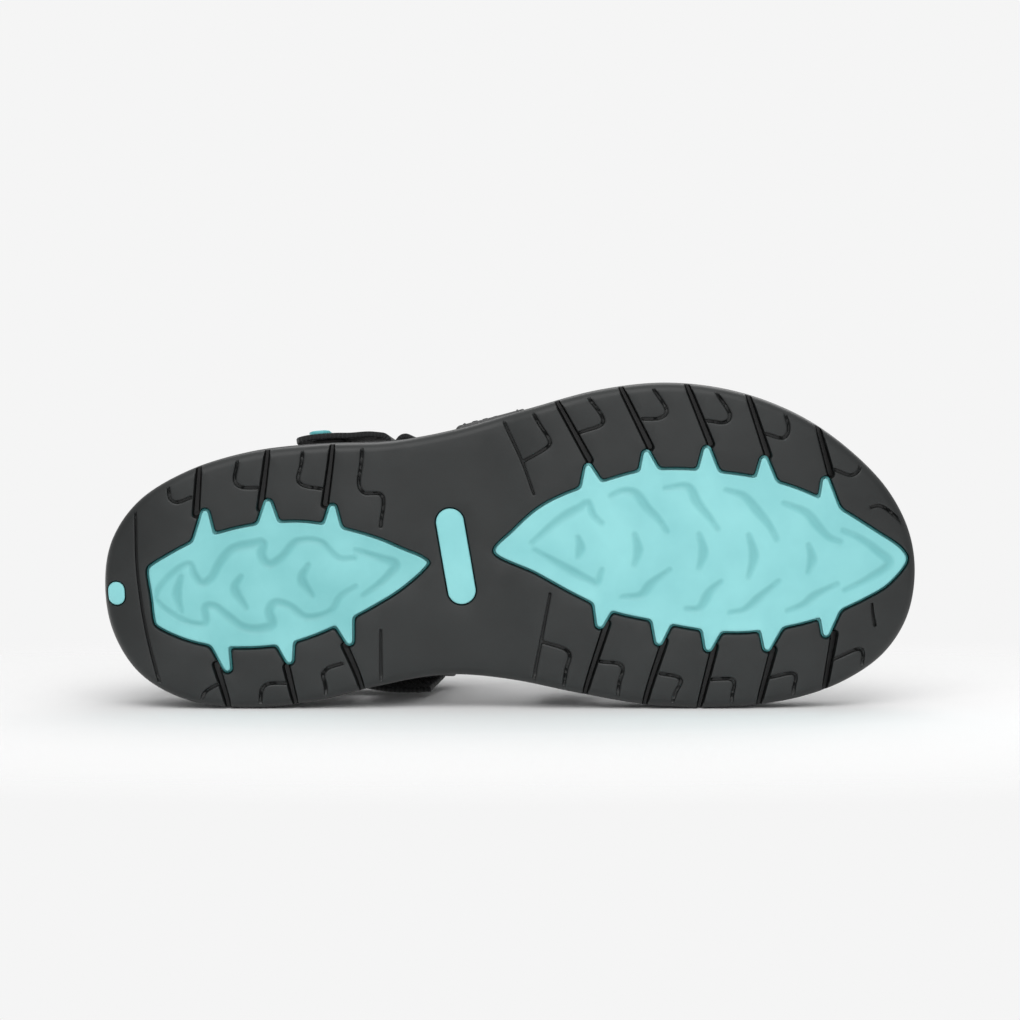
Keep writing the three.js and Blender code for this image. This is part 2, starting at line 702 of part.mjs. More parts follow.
const sole = new THREE.Group();
sole.add(
  mesh("outsole", geometryOf(makeOutsole()), "rubber"),
  mesh("forefoot_pod", makePod(FOREFOOT_POD), "aqua"),
  mesh("heel_pod", makePod(HEEL_POD), "aqua"),
  mesh("arch_badge", geometryOf(badgePrism(ARCH_BADGE, 0)), "aqua"),
  mesh("heel_badge", geometryOf(heelBadgeSolid(0)), "aqua"),
  mesh("midsole", geometryOf(makeMidsole()), "foam"),
  mesh("shank", geometryOf(shankSolid(0, GAP, GAP + SHANK.thickness)), "nylon"),
  mesh("heel_shock_pad", geometryOf(shockPadSolid(0)), "gel"),
  mesh("footbed", geometryOf(makeFootbed()), "footbed"),
);
sandal.add(sole);

// A soft lining inside a strap, a little narrower or wider than it.
const liningOf = (route, from, to, width, thickness) =>
  geometryOf(
    band(route, { from, to, width, low: -LAYER_GAP - thickness, high: -LAYER_GAP }),
  );

const plainBand = (route, width) =>
  geometryOf(band(route, { from: 0, to: route.length, width, low: 0, high: WEBBING }));

const straps = new THREE.Group();
straps.add(
  mesh("toe_strap", plainBand(TOE, STRAP_WIDTH.toe), "webbing"),
  mesh("toe_lining", liningOf(TOE, 22, TOE.length - 24, STRAP_WIDTH.toe - 1, LINING), "lining"),
  mesh("cross_lining", liningOf(CROSS, 22, 50, CLOSURES.cross.width - 1, LINING), "lining"),
  mesh("instep_pad", liningOf(INSTEP, 68, INSTEP.length - 68, 26, PAD), "lining"),
  mesh("heel_collar_pad", liningOf(HEEL, 66, HEEL.length - 92, 34, PAD), "lining"),
  mesh("lateral_quarter", plainBand(LATERAL_QUARTER, STRAP_WIDTH.quarter), "webbing"),
  mesh("medial_quarter", plainBand(MEDIAL_QUARTER, STRAP_WIDTH.quarter), "webbing"),
);
sandal.add(straps);

for (const [name, size] of Object.entries(CLOSURES)) {
  sandal.add(makeClosure(name, size.route, size));
}

export default sandal;
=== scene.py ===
"""A strappy sport sandal for the right foot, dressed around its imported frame.

+X runs towards the toe, +Y towards the inner side of the foot and +Z up. Sizes are in millimetres
until a mesh is made, when they become metres. The sandal lies on its inner side in front of the
camera, which looks at the tread.
"""
import logging
import math
from dataclasses import dataclass
from enum import Enum
from typing import Callable, Iterable, Sequence

import bpy
import numpy as np
from mathutils import Matrix, Vector
from mathutils.geometry import delaunay_2d_cdt


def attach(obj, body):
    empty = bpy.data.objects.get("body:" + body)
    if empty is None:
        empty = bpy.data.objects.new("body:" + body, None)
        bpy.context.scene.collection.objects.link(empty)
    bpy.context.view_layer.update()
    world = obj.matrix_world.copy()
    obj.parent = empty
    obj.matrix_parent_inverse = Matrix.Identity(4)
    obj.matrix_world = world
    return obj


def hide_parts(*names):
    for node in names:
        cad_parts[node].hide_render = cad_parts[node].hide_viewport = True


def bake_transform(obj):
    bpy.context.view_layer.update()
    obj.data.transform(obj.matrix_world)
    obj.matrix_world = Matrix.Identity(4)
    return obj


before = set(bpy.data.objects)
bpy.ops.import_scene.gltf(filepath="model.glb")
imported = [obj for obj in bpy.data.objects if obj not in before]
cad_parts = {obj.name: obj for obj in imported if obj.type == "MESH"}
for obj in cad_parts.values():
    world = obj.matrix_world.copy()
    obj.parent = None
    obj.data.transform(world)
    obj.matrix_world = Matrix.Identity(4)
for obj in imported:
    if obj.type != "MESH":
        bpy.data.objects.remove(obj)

LOG = logging.getLogger("sandal")
MM = 0.001
ROOT = "sandal"
Points = np.ndarray
Profile = Callable[[np.ndarray], np.ndarray]


# ---------- numbers and colours ----------


def ease(low: float, high: float, x: np.ndarray) -> np.ndarray:
    """Returns 0 below low, 1 above high and a smooth step between them."""
    t = np.clip((np.asarray(x, float) - low) / (high - low), 0, 1)
    return t * t * (3 - 2 * t)


def mix(a: float, b: float, t: np.ndarray) -> np.ndarray:
    """Returns the value a share t of the way from a to b."""
    return a + (b - a) * t


def linear(hex_colour: str) -> tuple[float, float, float, float]:
    """Turns an sRGB hex colour into a linear one.

    Args:
        hex_colour: six hex digits, such as "8fd6d8".

    Returns:
        Red, green, blue and an alpha of 1.
    """
    shares = [int(hex_colour[i : i + 2], 16) / 255 for i in (0, 2, 4)]
    curved = [s / 12.92 if s <= 0.04045 else ((s + 0.055) / 1.055) ** 2.4 for s in shares]
    return (*curved, 1.0)


def centripetal(points: Sequence[Sequence[float]], closed: bool, steps: int = 24) -> Points:
    """Runs a smooth line through points, turning tightly only where they are close together.

    Args:
        points: the places that the line passes through, in order.
        closed: whether the line comes back to its first point.
        steps: how many points are made between two of the given ones.

    Returns:
        The line's points, without the first one repeated when it is closed.
    """
    p = np.asarray(points, float)
    if closed:
        p = np.vstack([p[-1:], p, p[:2]])
    else:
        p = np.vstack([2 * p[:1] - p[1:2], p, 2 * p[-1:] - p[-2:-1]])
    out = []
    for a, b, c, d in zip(p[:-3], p[1:-2], p[2:-1], p[3:]):
        near, mid, far = (max(1e-4, np.linalg.norm(v)) ** 0.5 for v in (b - a, c - b, d - c))
        leave = ((b - a) / near - (c - a) / (near + mid) + (c - b) / mid) * mid
        arrive = ((c - b) / mid - (d - b) / (mid + far) + (d - c) / far) * mid
        t = np.linspace(0, 1, steps, endpoint=False)[:, None]
        cubic = 2 * b - 2 * c + leave + arrive
        square = -3 * b + 3 * c - 2 * leave - arrive
        out.append(b + leave * t + square * t**2 + cubic * t**3)
    line = np.vstack(out)
    return line if closed else np.vstack([line, p[-2:-1]])


def measured(line: Points) -> np.ndarray:
    """Returns the distance travelled along a line at each of its points."""
    return np.concatenate([[0], np.cumsum(np.linalg.norm(np.diff(line, axis=0), axis=1))])


def points_at(line: Points, travelled: np.ndarray, wanted: np.ndarray) -> Points:
    """Returns the places on a line at wanted distances along it."""
    return np.column_stack([np.interp(wanted, travelled, axis) for axis in line.T])


def evenly(line: Points, spacing: float, closed: bool = False) -> Points:
    """Places points at equal distances along a line.

    Args:
        line: the line's points.
        spacing: the distance wanted between two points.
        closed: whether the line comes back to its start.

    Returns:
        The new points, which keep both ends of an open line.
    """
    full = np.vstack([line, line[:1]]) if closed else line
    travelled = measured(full)
    count = max(3 if closed else 1, round(travelled[-1] / spacing))
    made = points_at(full, travelled, np.linspace(0, travelled[-1], count + 1))
    return made[:-1] if closed else made


# ---------- flat fields: signed distances in plan ----------

FAR = 4.0


def stroke_field(points: Points, line: Points, start: float, end: float) -> np.ndarray:
    """Measures how far points are outside a stroke whose width runs from start to end.

    Args:
        points: places in plan.
        line: the stroke's middle line.
        start: its width at the first point.
        end: its width at the last point.

    Returns:
        Distances, negative inside the stroke, and FAR where nothing is near.
    """
    out = np.full(len(points), FAR)
    margin = FAR + max(start, end)
    near = np.all((points > line.min(0) - margin) & (points < line.max(0) + margin), axis=1)
    p = points[near]
    lengths = np.linalg.norm(np.diff(line, axis=0), axis=1)
    total = lengths.sum()
    done = 0.0
    best = np.full(len(p), FAR)
    for a, b, length in zip(line[:-1], line[1:], lengths):
        if length > 0:
            t = np.clip(((p - a) @ (b - a)) / length**2, 0, 1)
            gap = np.linalg.norm(p - a - t[:, None] * (b - a), axis=1)
            best = np.minimum(best, gap - mix(start, end, (done + t * length) / total) / 2)
        done += length
    out[near] = best
    return out


def nearest(points: Points, strokes: Sequence, start: float, end: float) -> np.ndarray:
    """Measures how far points are outside several smooth strokes of the same widths."""
    value = np.full(len(points), FAR)
    for stroke in strokes:
        line = evenly(centripetal(stroke, False), 1.2)
        value = np.minimum(value, stroke_field(points, line, start, end))
    return value


def ring_field(points: Points, ring: Points) -> np.ndarray:
    """Measures how far points are outside a closed ring; negative inside it."""
    best = np.full(len(points), np.inf)
    inside = np.zeros(len(points), bool)
    x, y = points.T
    for a, b in zip(ring, np.roll(ring, -1, axis=0)):
        along = b - a
        t = np.clip(((points - a) @ along) / max(along @ along, 1e-12), 0, 1)
        off = points - a - t[:, None] * along
        best = np.minimum(best, off[:, 0] ** 2 + off[:, 1] ** 2)
        if a[1] != b[1]:
            crossing = a[0] + (y - a[1]) / (b[1] - a[1]) * along[0]
            inside ^= ((a[1] > y) != (b[1] > y)) & (x < crossing)
    return np.where(inside, -1, 1) * np.sqrt(best)


def soft_min(a: np.ndarray, b: np.ndarray, round_by: float) -> np.ndarray:
    """Joins two fields into one whose inner corner is rounded."""
    h = np.clip(0.5 + 0.5 * (b - a) / round_by, 0, 1)
    return b + (a - b) * h - round_by * h * (1 - h)


CELL_LINES = {
    1: [(3, 0)], 2: [(0, 1)], 3: [(3, 1)], 4: [(1, 2)], 5: [(3, 0), (1, 2)], 6: [(0, 2)],
    7: [(3, 2)], 8: [(2, 3)], 9: [(2, 0)], 10: [(0, 1), (2, 3)], 11: [(2, 1)], 12: [(1, 3)],
    13: [(1, 0)], 14: [(0, 3)],
}


def level_lines(values: np.ndarray, x: np.ndarray, y: np.ndarray, level: float) -> list:
    """Follows the lines along which a gridded field has one value.

    Args:
        values: the field, one row for each y.
        x: the grid's columns.
        y: the grid's rows.
        level: the value to follow.

    Returns:
        (points, closed) for each line.
    """
    above = values > level
    case = above[:-1, :-1] + 2 * above[:-1, 1:] + 4 * above[1:, 1:] + 8 * above[1:, :-1]
    links: dict = {}
    place: dict = {}

    def crossing(j: int, i: int, side: int) -> tuple:
        """Returns the key of a cell side's crossing, and stores its place."""
        key = ((j, i, 0), (j, i + 1, 1), (j + 1, i, 0), (j, i, 1))[side]
        if key not in place:
            row, column, upright = key
            here = values[row, column]
            there = values[row + upright, column + 1 - upright]
            t = (level - here) / (there - here)
            dx, dy = (1 - upright) * (x[1] - x[0]), upright * (y[1] - y[0])
            place[key] = (x[column] + t * dx, y[row] + t * dy)
        return key

    for j, i in zip(*np.nonzero((case > 0) & (case < 15))):
        for first, second in CELL_LINES[int(case[j, i])]:
            a, b = crossing(j, i, first), crossing(j, i, second)
            links.setdefault(a, []).append(b)
            links.setdefault(b, []).append(a)
    lines = []
    starts = [k for k, v in links.items() if len(v) == 1] + list(links)
    for start in starts:
        if not links.get(start):
            continue
        chain = [start]
        while links[chain[-1]]:
            ahead = links[chain[-1]].pop()
            links[ahead].remove(chain[-1])
            chain.append(ahead)
        closed = chain[0] == chain[-1]
        points = np.array([place[k] for k in (chain[:-1] if closed else chain)])
        if len(points) > 2:
            lines.append((points, closed))
    return lines


# ---------- Blender helpers ----------


def deselect() -> None:
    """Leaves nothing selected, in object mode."""
    if bpy.context.object and bpy.context.object.mode != "OBJECT":
        bpy.ops.object.mode_set(mode="OBJECT")
    bpy.ops.object.select_all(action="DESELECT")


def only(obj: bpy.types.Object) -> bpy.types.Object:
    """Makes obj the one selected and active object, and returns it."""
    deselect()
    obj.select_set(True)
    bpy.context.view_layer.objects.active = obj
    return obj


def modify(obj: bpy.types.Object, kind: str, **settings: object) -> None:
    """Adds a modifier to obj and applies it.

    Args:
        obj: a mesh object.
        kind: the modifier's type, such as "BEVEL".
        **settings: its settings.
    """
    only(obj)
    made = obj.modifiers.new(kind.title(), kind)
    for name, value in settings.items():
        setattr(made, name, value)
    bpy.ops.object.modifier_apply(modifier=made.name)


def smooth(obj: bpy.types.Object, angle: float = 35) -> bpy.types.Object:
    """Shades obj smooth, except over edges sharper than an angle in degrees."""
    only(obj)
    bpy.ops.object.shade_smooth_by_angle(angle=math.radians(angle))
    return obj


def face_out(obj: bpy.types.Object, merge: float = 1e-7) -> None:
    """Merges vertices closer than merge, in metres, and turns every face of obj outwards."""
    only(obj)
    bpy.ops.object.mode_set(mode="EDIT")
    bpy.ops.mesh.select_all(action="SELECT")
    bpy.ops.mesh.remove_doubles(threshold=merge)
    bpy.ops.mesh.normals_make_consistent(inside=False)
    bpy.ops.object.mode_set(mode="OBJECT")


def mesh_object(name: str, points: Points, faces: Iterable) -> bpy.types.Object:
    """Makes a mesh object from points in millimetres and faces."""
    data = bpy.data.meshes.new(name)
    data.from_pydata((np.asarray(points) * MM).tolist(), [], [list(f) for f in faces])
    data.update()
    obj = bpy.data.objects.new(name, data)
    bpy.context.scene.collection.objects.link(obj)
    return obj


def coordinates(obj: bpy.types.Object) -> np.ndarray:
    """Returns the vertices of obj in millimetres."""
    flat = np.zeros(len(obj.data.vertices) * 3, np.float32)
    obj.data.vertices.foreach_get("co", flat)
    return flat.reshape(-1, 3).astype(float) / MM


def set_coordinates(obj: bpy.types.Object, points: np.ndarray) -> None:
    """Moves the vertices of obj to points in millimetres."""
    obj.data.vertices.foreach_set("co", (points * MM).astype(np.float32).ravel())
    obj.data.update()


def paint(obj: bpy.types.Object, name: str, values: np.ndarray) -> None:
    """Stores one number for each vertex of obj under a name."""
    attribute = obj.data.attributes.new(name, "FLOAT", "POINT")
    attribute.data.foreach_set("value", np.asarray(values, np.float32))


# ---------- finishes ----------


def node(tree: bpy.types.NodeTree, kind: str, settings: dict | None = None,
         **inputs: object) -> bpy.types.Node:
    """Adds a node with its settings, values and links.

    Args:
        tree: the material's node tree.
        kind: the node's type without its "ShaderNode" prefix.
        settings: the node's own settings.
        **inputs: a value or an output socket for each input; _ stands for a space, and an input
            may also be named in0, in1 and so on, by its place.

    Returns:
        The node.
    """
    made = tree.nodes.new("ShaderNode" + kind)
    for name, value in (settings or {}).items():
        setattr(made, name, value)
    for name, value in inputs.items():
        numbered = name.startswith("in") and name[2:].isdigit()
        socket = made.inputs[int(name[2:]) if numbered else name.replace("_", " ")]
        if isinstance(value, bpy.types.NodeSocket):
            tree.links.new(value, socket)
        else:
            socket.default_value = value
    return made


def math_node(tree: bpy.types.NodeTree, operation: str, a: object,
              b: object = 0.0) -> bpy.types.NodeSocket:
    """Returns the output of a Math node that joins a and b."""
    return node(tree, "Math", {"operation": operation}, in0=a, in1=b).outputs[0]


def ramp(tree: bpy.types.NodeTree, value: object, low: float, high: float,
         to: tuple = (0, 1)) -> bpy.types.NodeSocket:
    """Returns value remapped from low..high onto a range, clamped."""
    made = node(tree, "MapRange", None, Value=value, From_Min=low, From_Max=high,
                To_Min=to[0], To_Max=to[1])
    return made.outputs[0]


def two_tone(tree: bpy.types.NodeTree, share: object, low: str, high: str) -> bpy.types.NodeSocket:
    """Returns a colour between two hex colours, by a share."""
    made = node(tree, "Mix", {"data_type": "RGBA"}, in0=share)
    made.inputs[6].default_value = linear(low)
    made.inputs[7].default_value = linear(high)
    return made.outputs[2]


def noise(tree: bpy.types.NodeTree, size: float, detail: float = 3) -> bpy.types.NodeSocket:
    """Returns noise over the object whose blotches measure about size millimetres."""
    place = node(tree, "TexCoord").outputs["Object"]
    made = node(tree, "TexNoise", None, Vector=place, Scale=1 / (size * MM), Detail=detail)
    return made.outputs["Fac"]


def cell_distance(tree: bpy.types.NodeTree, size: float, settings: dict | None = None,
                  **inputs: object) -> bpy.types.NodeSocket:
    """Returns the distance to the middle of the nearest cell, for cells of size millimetres."""
    place = node(tree, "TexCoord").outputs["Object"]
    made = node(tree, "TexVoronoi", settings, Vector=place, Scale=1 / (size * MM), **inputs)
    return made.outputs["Distance"]


def wave(tree: bpy.types.NodeTree, value: object, pitch: float) -> bpy.types.NodeSocket:
    """Returns a sine wave of a value, from -1 to 1, that repeats every pitch."""
    return math_node(tree, "SINE", math_node(tree, "MULTIPLY", value, 2 * math.pi / pitch))


def strap_chart(tree: bpy.types.NodeTree) -> list[bpy.types.NodeSocket]:
    """Returns the distances along and across a band, in millimetres."""
    chart = node(tree, "UVMap", {"uv_map": "strap"}).outputs[0]
    return node(tree, "SeparateXYZ", None, Vector=chart).outputs[:2]


def emboss(tree: bpy.types.NodeTree, shader: bpy.types.Node, height: object, strength: float,
           depth: float) -> None:
    """Links a relief, depth millimetres deep, to the shader."""
    bump = node(tree, "Bump", None, Height=height, Strength=strength, Distance=depth * MM)
    tree.links.new(bump.outputs[0], shader.inputs["Normal"])


@dataclass(frozen=True)
class Finish:
    """A finish: what a surface is made of and how it was made."""

    name: str
    slot: str

    def surface(self, tree: bpy.types.NodeTree, shader: bpy.types.Node) -> None:
        """Wires the finish's nodes into the shader."""
        raise NotImplementedError

    def material(self) -> bpy.types.Material:
        """Makes the material, or returns it if it is already there."""
        known = bpy.data.materials.get(self.name)
        if known:
            return known
        made = bpy.data.materials.new(self.name)
        made.use_nodes = True
        tree = made.node_tree
        self.surface(tree, tree.nodes["Principled BSDF"])
        return made

    def dress(self, piece: bpy.types.Object) -> None:
        """Gives a piece this finish."""
        piece.data.materials.clear()
        piece.data.materials.append(self.material())


@dataclass(frozen=True)
class MouldedRubber(Finish):
    """Rubber pressed in a steel mould, whose blasted face leaves a fine grain.

    The grain scatters light, so it looks satin. A sole that has seen wear has soft paler patches.
    """

    dark: str
    pale: str
    roughness: float
    # deep is the colour of the painted shade in sunk places; empty for none.
    deep: str = ""
    grain: float = 0.45

    def surface(self, tree: bpy.types.NodeTree, shader: bpy.types.Node) -> None:
        """Wires a grainy two-tone rubber, with painted shade in its deep colour where it is sunk, if it has
        one.
        """
        cloud = noise(tree, 22, 4)
        colour = two_tone(tree, ramp(tree, cloud, 0.35, 0.65), self.dark, self.pale)
        # Painted shade: the sunk attribute mixes in the deep colour where grooves, slits, windows, pod rims
        # and strokes sink.
        if self.deep:
            sunk = node(tree, "Attribute", {"attribute_name": "sunk"}).outputs["Fac"]
            deeper = node(tree, "Mix", {"data_type": "RGBA"}, in0=sunk, in6=colour)
            deeper.inputs[7].default_value = linear(self.deep)
            colour = deeper.outputs[2]
        tree.links.new(colour, shader.inputs["Base Color"])
        rough = ramp(tree, cloud, 0.3, 0.7, (self.roughness - 0.05, self.roughness + 0.06))
        tree.links.new(rough, shader.inputs["Roughness"])
        emboss(tree, shader, noise(tree, self.grain, 2), 0.35, 0.05)
        shader.inputs["IOR"].default_value = 1.52


@dataclass(frozen=True)
class FoamSkin(Finish):
    """EVA foam, pressed hot, with a closed skin and a pebbled grain."""

    dark: str = "242627"
    pale: str = "2e3031"
    pebble: float = 1.1
    depth: float = 0.12

    def surface(self, tree: bpy.types.NodeTree, shader: bpy.types.Node) -> None:
        """Wires a matt foam with a cell-like grain and painted shade between its pebbles."""
        cloud = noise(tree, 14, 4)
        cells = cell_distance(tree, self.pebble, {"feature": "SMOOTH_F1"}, Smoothness=0.2)
        # The colour is a random tone, with painted shade in the gaps between the pebbles.
        tone_and_pebble_shade = math_node(tree, "MULTIPLY", cloud, ramp(tree, cells, 0.25, 0.65, (1.2, 0.4)))
        tree.links.new(two_tone(tree, tone_and_pebble_shade, self.dark, self.pale), shader.inputs["Base Color"])
        emboss(tree, shader, cells, 0.6, -self.depth)
        tree.links.new(ramp(tree, cloud, 0.3, 0.7, (0.68, 0.8)), shader.inputs["Roughness"])


@dataclass(frozen=True)
class Webbing(Finish):
    """Polyester webbing woven in a herringbone, whose ribs are a millimetre or so apart."""

    dark: str = "0c0d0e"
    pale: str = "1f2123"
    rib_pitch: float = 1.3
    chevron: float = 4.5
    slant: float = 0.55
    ply_pitch: float = 0.9
    ply_height: float = 0.18

    def surface(self, tree: bpy.types.NodeTree, shader: bpy.types.Node) -> None:
        """Wires slanted ribs that change direction across the strap."""
        along, across = strap_chart(tree)
        zigzag = math_node(tree, "PINGPONG", across, self.chevron)
        slanted = math_node(tree, "ADD", along, math_node(tree, "MULTIPLY", zigzag, self.slant))
        rib = ramp(tree, wave(tree, slanted, self.rib_pitch), -1, 1)
        ply = math_node(tree, "MULTIPLY", wave(tree, across, self.ply_pitch), self.ply_height)
        fluff = noise(tree, 0.5, 2)
        # The colour follows the ribs' height: painted shade in the valleys between the ribs, with a random
        # tone from the fluff.
        rib_shade_and_fluff = math_node(tree, "MULTIPLY", rib, ramp(tree, fluff, 0.2, 0.8, (0.6, 1)))
        tree.links.new(two_tone(tree, rib_shade_and_fluff, self.dark, self.pale), shader.inputs["Base Color"])
        emboss(tree, shader, math_node(tree, "ADD", rib, ply), 0.8, 0.25)
        shader.inputs["Roughness"].default_value = 0.78
        shader.inputs["Sheen Weight"].default_value = 0.12
        shader.inputs["Sheen Roughness"].default_value = 0.5


@dataclass(frozen=True)
class BrushedKnit(Finish):
    """A brushed knit laid over foam, soft and nearly without gloss."""

    dark: str = "1d1e20"
    pale: str = "303234"

    def surface(self, tree: bpy.types.NodeTree, shader: bpy.types.Node) -> None:
        """Wires a short nap with the knit's loops showing through."""
        nap = noise(tree, 0.6, 4)
        loops = math_node(tree, "MULTIPLY", cell_distance(tree, 1.2), -0.6)
        tree.links.new(two_tone(tree, nap, self.dark, self.pale), shader.inputs["Base Color"])
        emboss(tree, shader, math_node(tree, "ADD", nap, loops), 0.6, 0.18)
        shader.inputs["Roughness"].default_value = 0.92
        shader.inputs["Sheen Weight"].default_value = 0.4


@dataclass(frozen=True)
class GripTape(Finish):
    """Hook or loop tape: rows of tiny nylon hooks, or a felt of loops."""

    pitch: float = 1.4
    hooks: bool = True
    dark: str = "0b0b0c"
    pale: str = "27282a"

    def surface(self, tree: bpy.types.NodeTree, shader: bpy.types.Node) -> None:
        """Wires rows of dots for hooks, or a tangled felt for loops."""
        if self.hooks:
            waves = [wave(tree, distance, self.pitch) for distance in strap_chart(tree)]
            height = ramp(tree, math_node(tree, "MULTIPLY", *waves), -0.2, 0.8)
        else:
            height = noise(tree, self.pitch / 2, 6)
        # For hooks, the colour follows the dots' height: painted shade between the hooks.
        tree.links.new(two_tone(tree, height, self.dark, self.pale), shader.inputs["Base Color"])
        emboss(tree, shader, height, 0.9, 0.35)
        shader.inputs["Roughness"].default_value = 0.6 if self.hooks else 0.95


@dataclass(frozen=True)
class MouldedNylon(Finish):
    """Injection-moulded nylon: close to glossy, with faint flow marks."""

    dark: str = "101112"
    pale: str = "1b1c1e"

    def surface(self, tree: bpy.types.NodeTree, shader: bpy.types.Node) -> None:
        """Wires a low gloss that varies slightly."""
        flow = noise(tree, 3)
        tree.links.new(two_tone(tree, flow, self.dark, self.pale), shader.inputs["Base Color"])
        tree.links.new(ramp(tree, flow, 0.2, 0.8, (0.28, 0.42)), shader.inputs["Roughness"])
        emboss(tree, shader, noise(tree, 0.3, 2), 0.2, 0.02)


@dataclass(frozen=True)
class BondedThread(Finish):
    """Bonded nylon thread, twisted from plies 0.3 mm wide."""

    dark: str = "17181a"
    pale: str = "3c3f42"

    def surface(self, tree: bpy.types.NodeTree, shader: bpy.types.Node) -> None:
        """Wires fine plies with a slight gloss."""
        plies = noise(tree, 0.35, 1)
        tree.links.new(two_tone(tree, plies, self.dark, self.pale), shader.inputs["Base Color"])
        emboss(tree, shader, plies, 0.5, 0.08)
        shader.inputs["Roughness"].default_value = 0.5


# The last colour of each tread rubber is the painted shade for its sunk places.
OUTSOLE_RUBBER = MouldedRubber("moulded_black_rubber", "outsole_rubber", "181b1b", "202323",
                               0.48, "050606")
FOREFOOT_RUBBER = MouldedRubber("moulded_aqua_rubber", "tread_rubber", "88d0d3", "93dadc",
                                0.42, "3c9496", 0.5)
HEEL_RUBBER = MouldedRubber("moulded_deep_aqua_rubber", "tread_rubber", "7dc6c8", "8ad2d4",
                            0.42, "358c8e", 0.5)
TAB_RUBBER = MouldedRubber("welded_aqua_patch", "tab_rubber", "5db9bd", "6ac6ca", 0.45)
MIDSOLE_FOAM = FoamSkin("pressed_foam", "midsole_foam")
FOOTBED_FOAM = FoamSkin("footbed_foam", "footbed_foam", "1d1f20", "35383a", 2.2, 0.4)
SHOCK_FOAM = FoamSkin("soft_heel_foam", "shock_pad_foam", "4d8288", "5f979c", 1.4, 0.15)
STRAP_WEAVE = Webbing("herringbone_webbing", "strap_webbing")
LINING_KNIT = BrushedKnit("brushed_knit", "soft_lining")
HOOK_TAPE = GripTape("hook_tape", "hook_tape")
LOOP_TAPE = GripTape("loop_tape", "loop_tape", pitch=1.0, hooks=False)
RING_NYLON = MouldedNylon("moulded_nylon", "ring_nylon")
SHANK_NYLON = MouldedNylon("ribbed_nylon", "shank_nylon", "151617", "222325")
THREAD = BondedThread("bonded_thread", "strap_webbing")


def fit(piece: bpy.types.Object, finish: Finish, node_name: str, body: str = ROOT) -> None:
    """Gives a piece its finish and the body it moves with, and hides the CAD node it stands for."""
    finish.dress(piece)
    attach(piece, body)
    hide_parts(node_name)


# ---------- the sole's plan and side profile ----------

SOLE_PLAN = (
    (-130, 12), (-127.6, -1.5), (-119, -13.8), (-103, -23.6), (-84, -29.4), (-62, -32),
    (-38, -33), (-18, -36.6), (5, -43.2), (28, -49.4), (50, -51.7), (72, -48.9), (92, -41.3),
    (108, -30.4), (121, -17), (128, -3.5), (130, 10), (127.4, 24), (120, 35.2), (108, 43.4),
    (92, 49), (70, 51.7), (45, 51.2), (22, 47.4), (2, 43.4), (-20, 41.6), (-42, 45),
    (-62, 49.8), (-84, 52), (-104, 49.4), (-119, 41), (-127.6, 27.5),
)
SOLE_LINE = centripetal(SOLE_PLAN, True, 40)
TREAD, LIP, LIP_WALL = 4.5, 10.0, 2.0
GAP = 0.3


def toe_spring(x: np.ndarray) -> np.ndarray:
    """Returns how far the toe rises off the ground."""
    return 13 * np.clip((x - 62) / 68, 0, 1) ** 2


def ground(x: np.ndarray) -> np.ndarray:
    """Returns the height of the tread, with the toe's spring, the heel's bevel and the arch."""
    heel = 5 * np.clip((-100 - x) / 30, 0, 1) ** 2
    arch = 2 * ease(-44, -30, x) * (1 - ease(-4, 10, x))
    return toe_spring(x) + heel + arch


def top(x: np.ndarray) -> np.ndarray:
    """Returns the height of the midsole's upper face."""
    return toe_spring(x) + mix(26, 17.5, ease(-75, 45, x)) - 3 * ease(90, 130, x)


def sole_ring(inset: float, spacing: float = 1.2) -> Points:
    """Returns the sole's outline moved in by a distance, with points evenly spaced."""
    line = evenly(SOLE_LINE, spacing, True)
    along = np.roll(line, -1, axis=0) - np.roll(line, 1, axis=0)
    along /= np.linalg.norm(along, axis=1)[:, None]
    return line + inset * np.column_stack([-along[:, 1], along[:, 0]])


def edge_at(x: np.ndarray, side: np.ndarray) -> np.ndarray:
    """Returns where the sole's edge is at an X, on the inner (1) or outer (-1) side."""
    tip = int(np.argmax(SOLE_LINE[:, 0]))
    outer, inner = SOLE_LINE[: tip + 1], SOLE_LINE[: tip - 1 : -1]
    return np.where(side > 0, np.interp(x, *inner.T), np.interp(x, *outer.T))


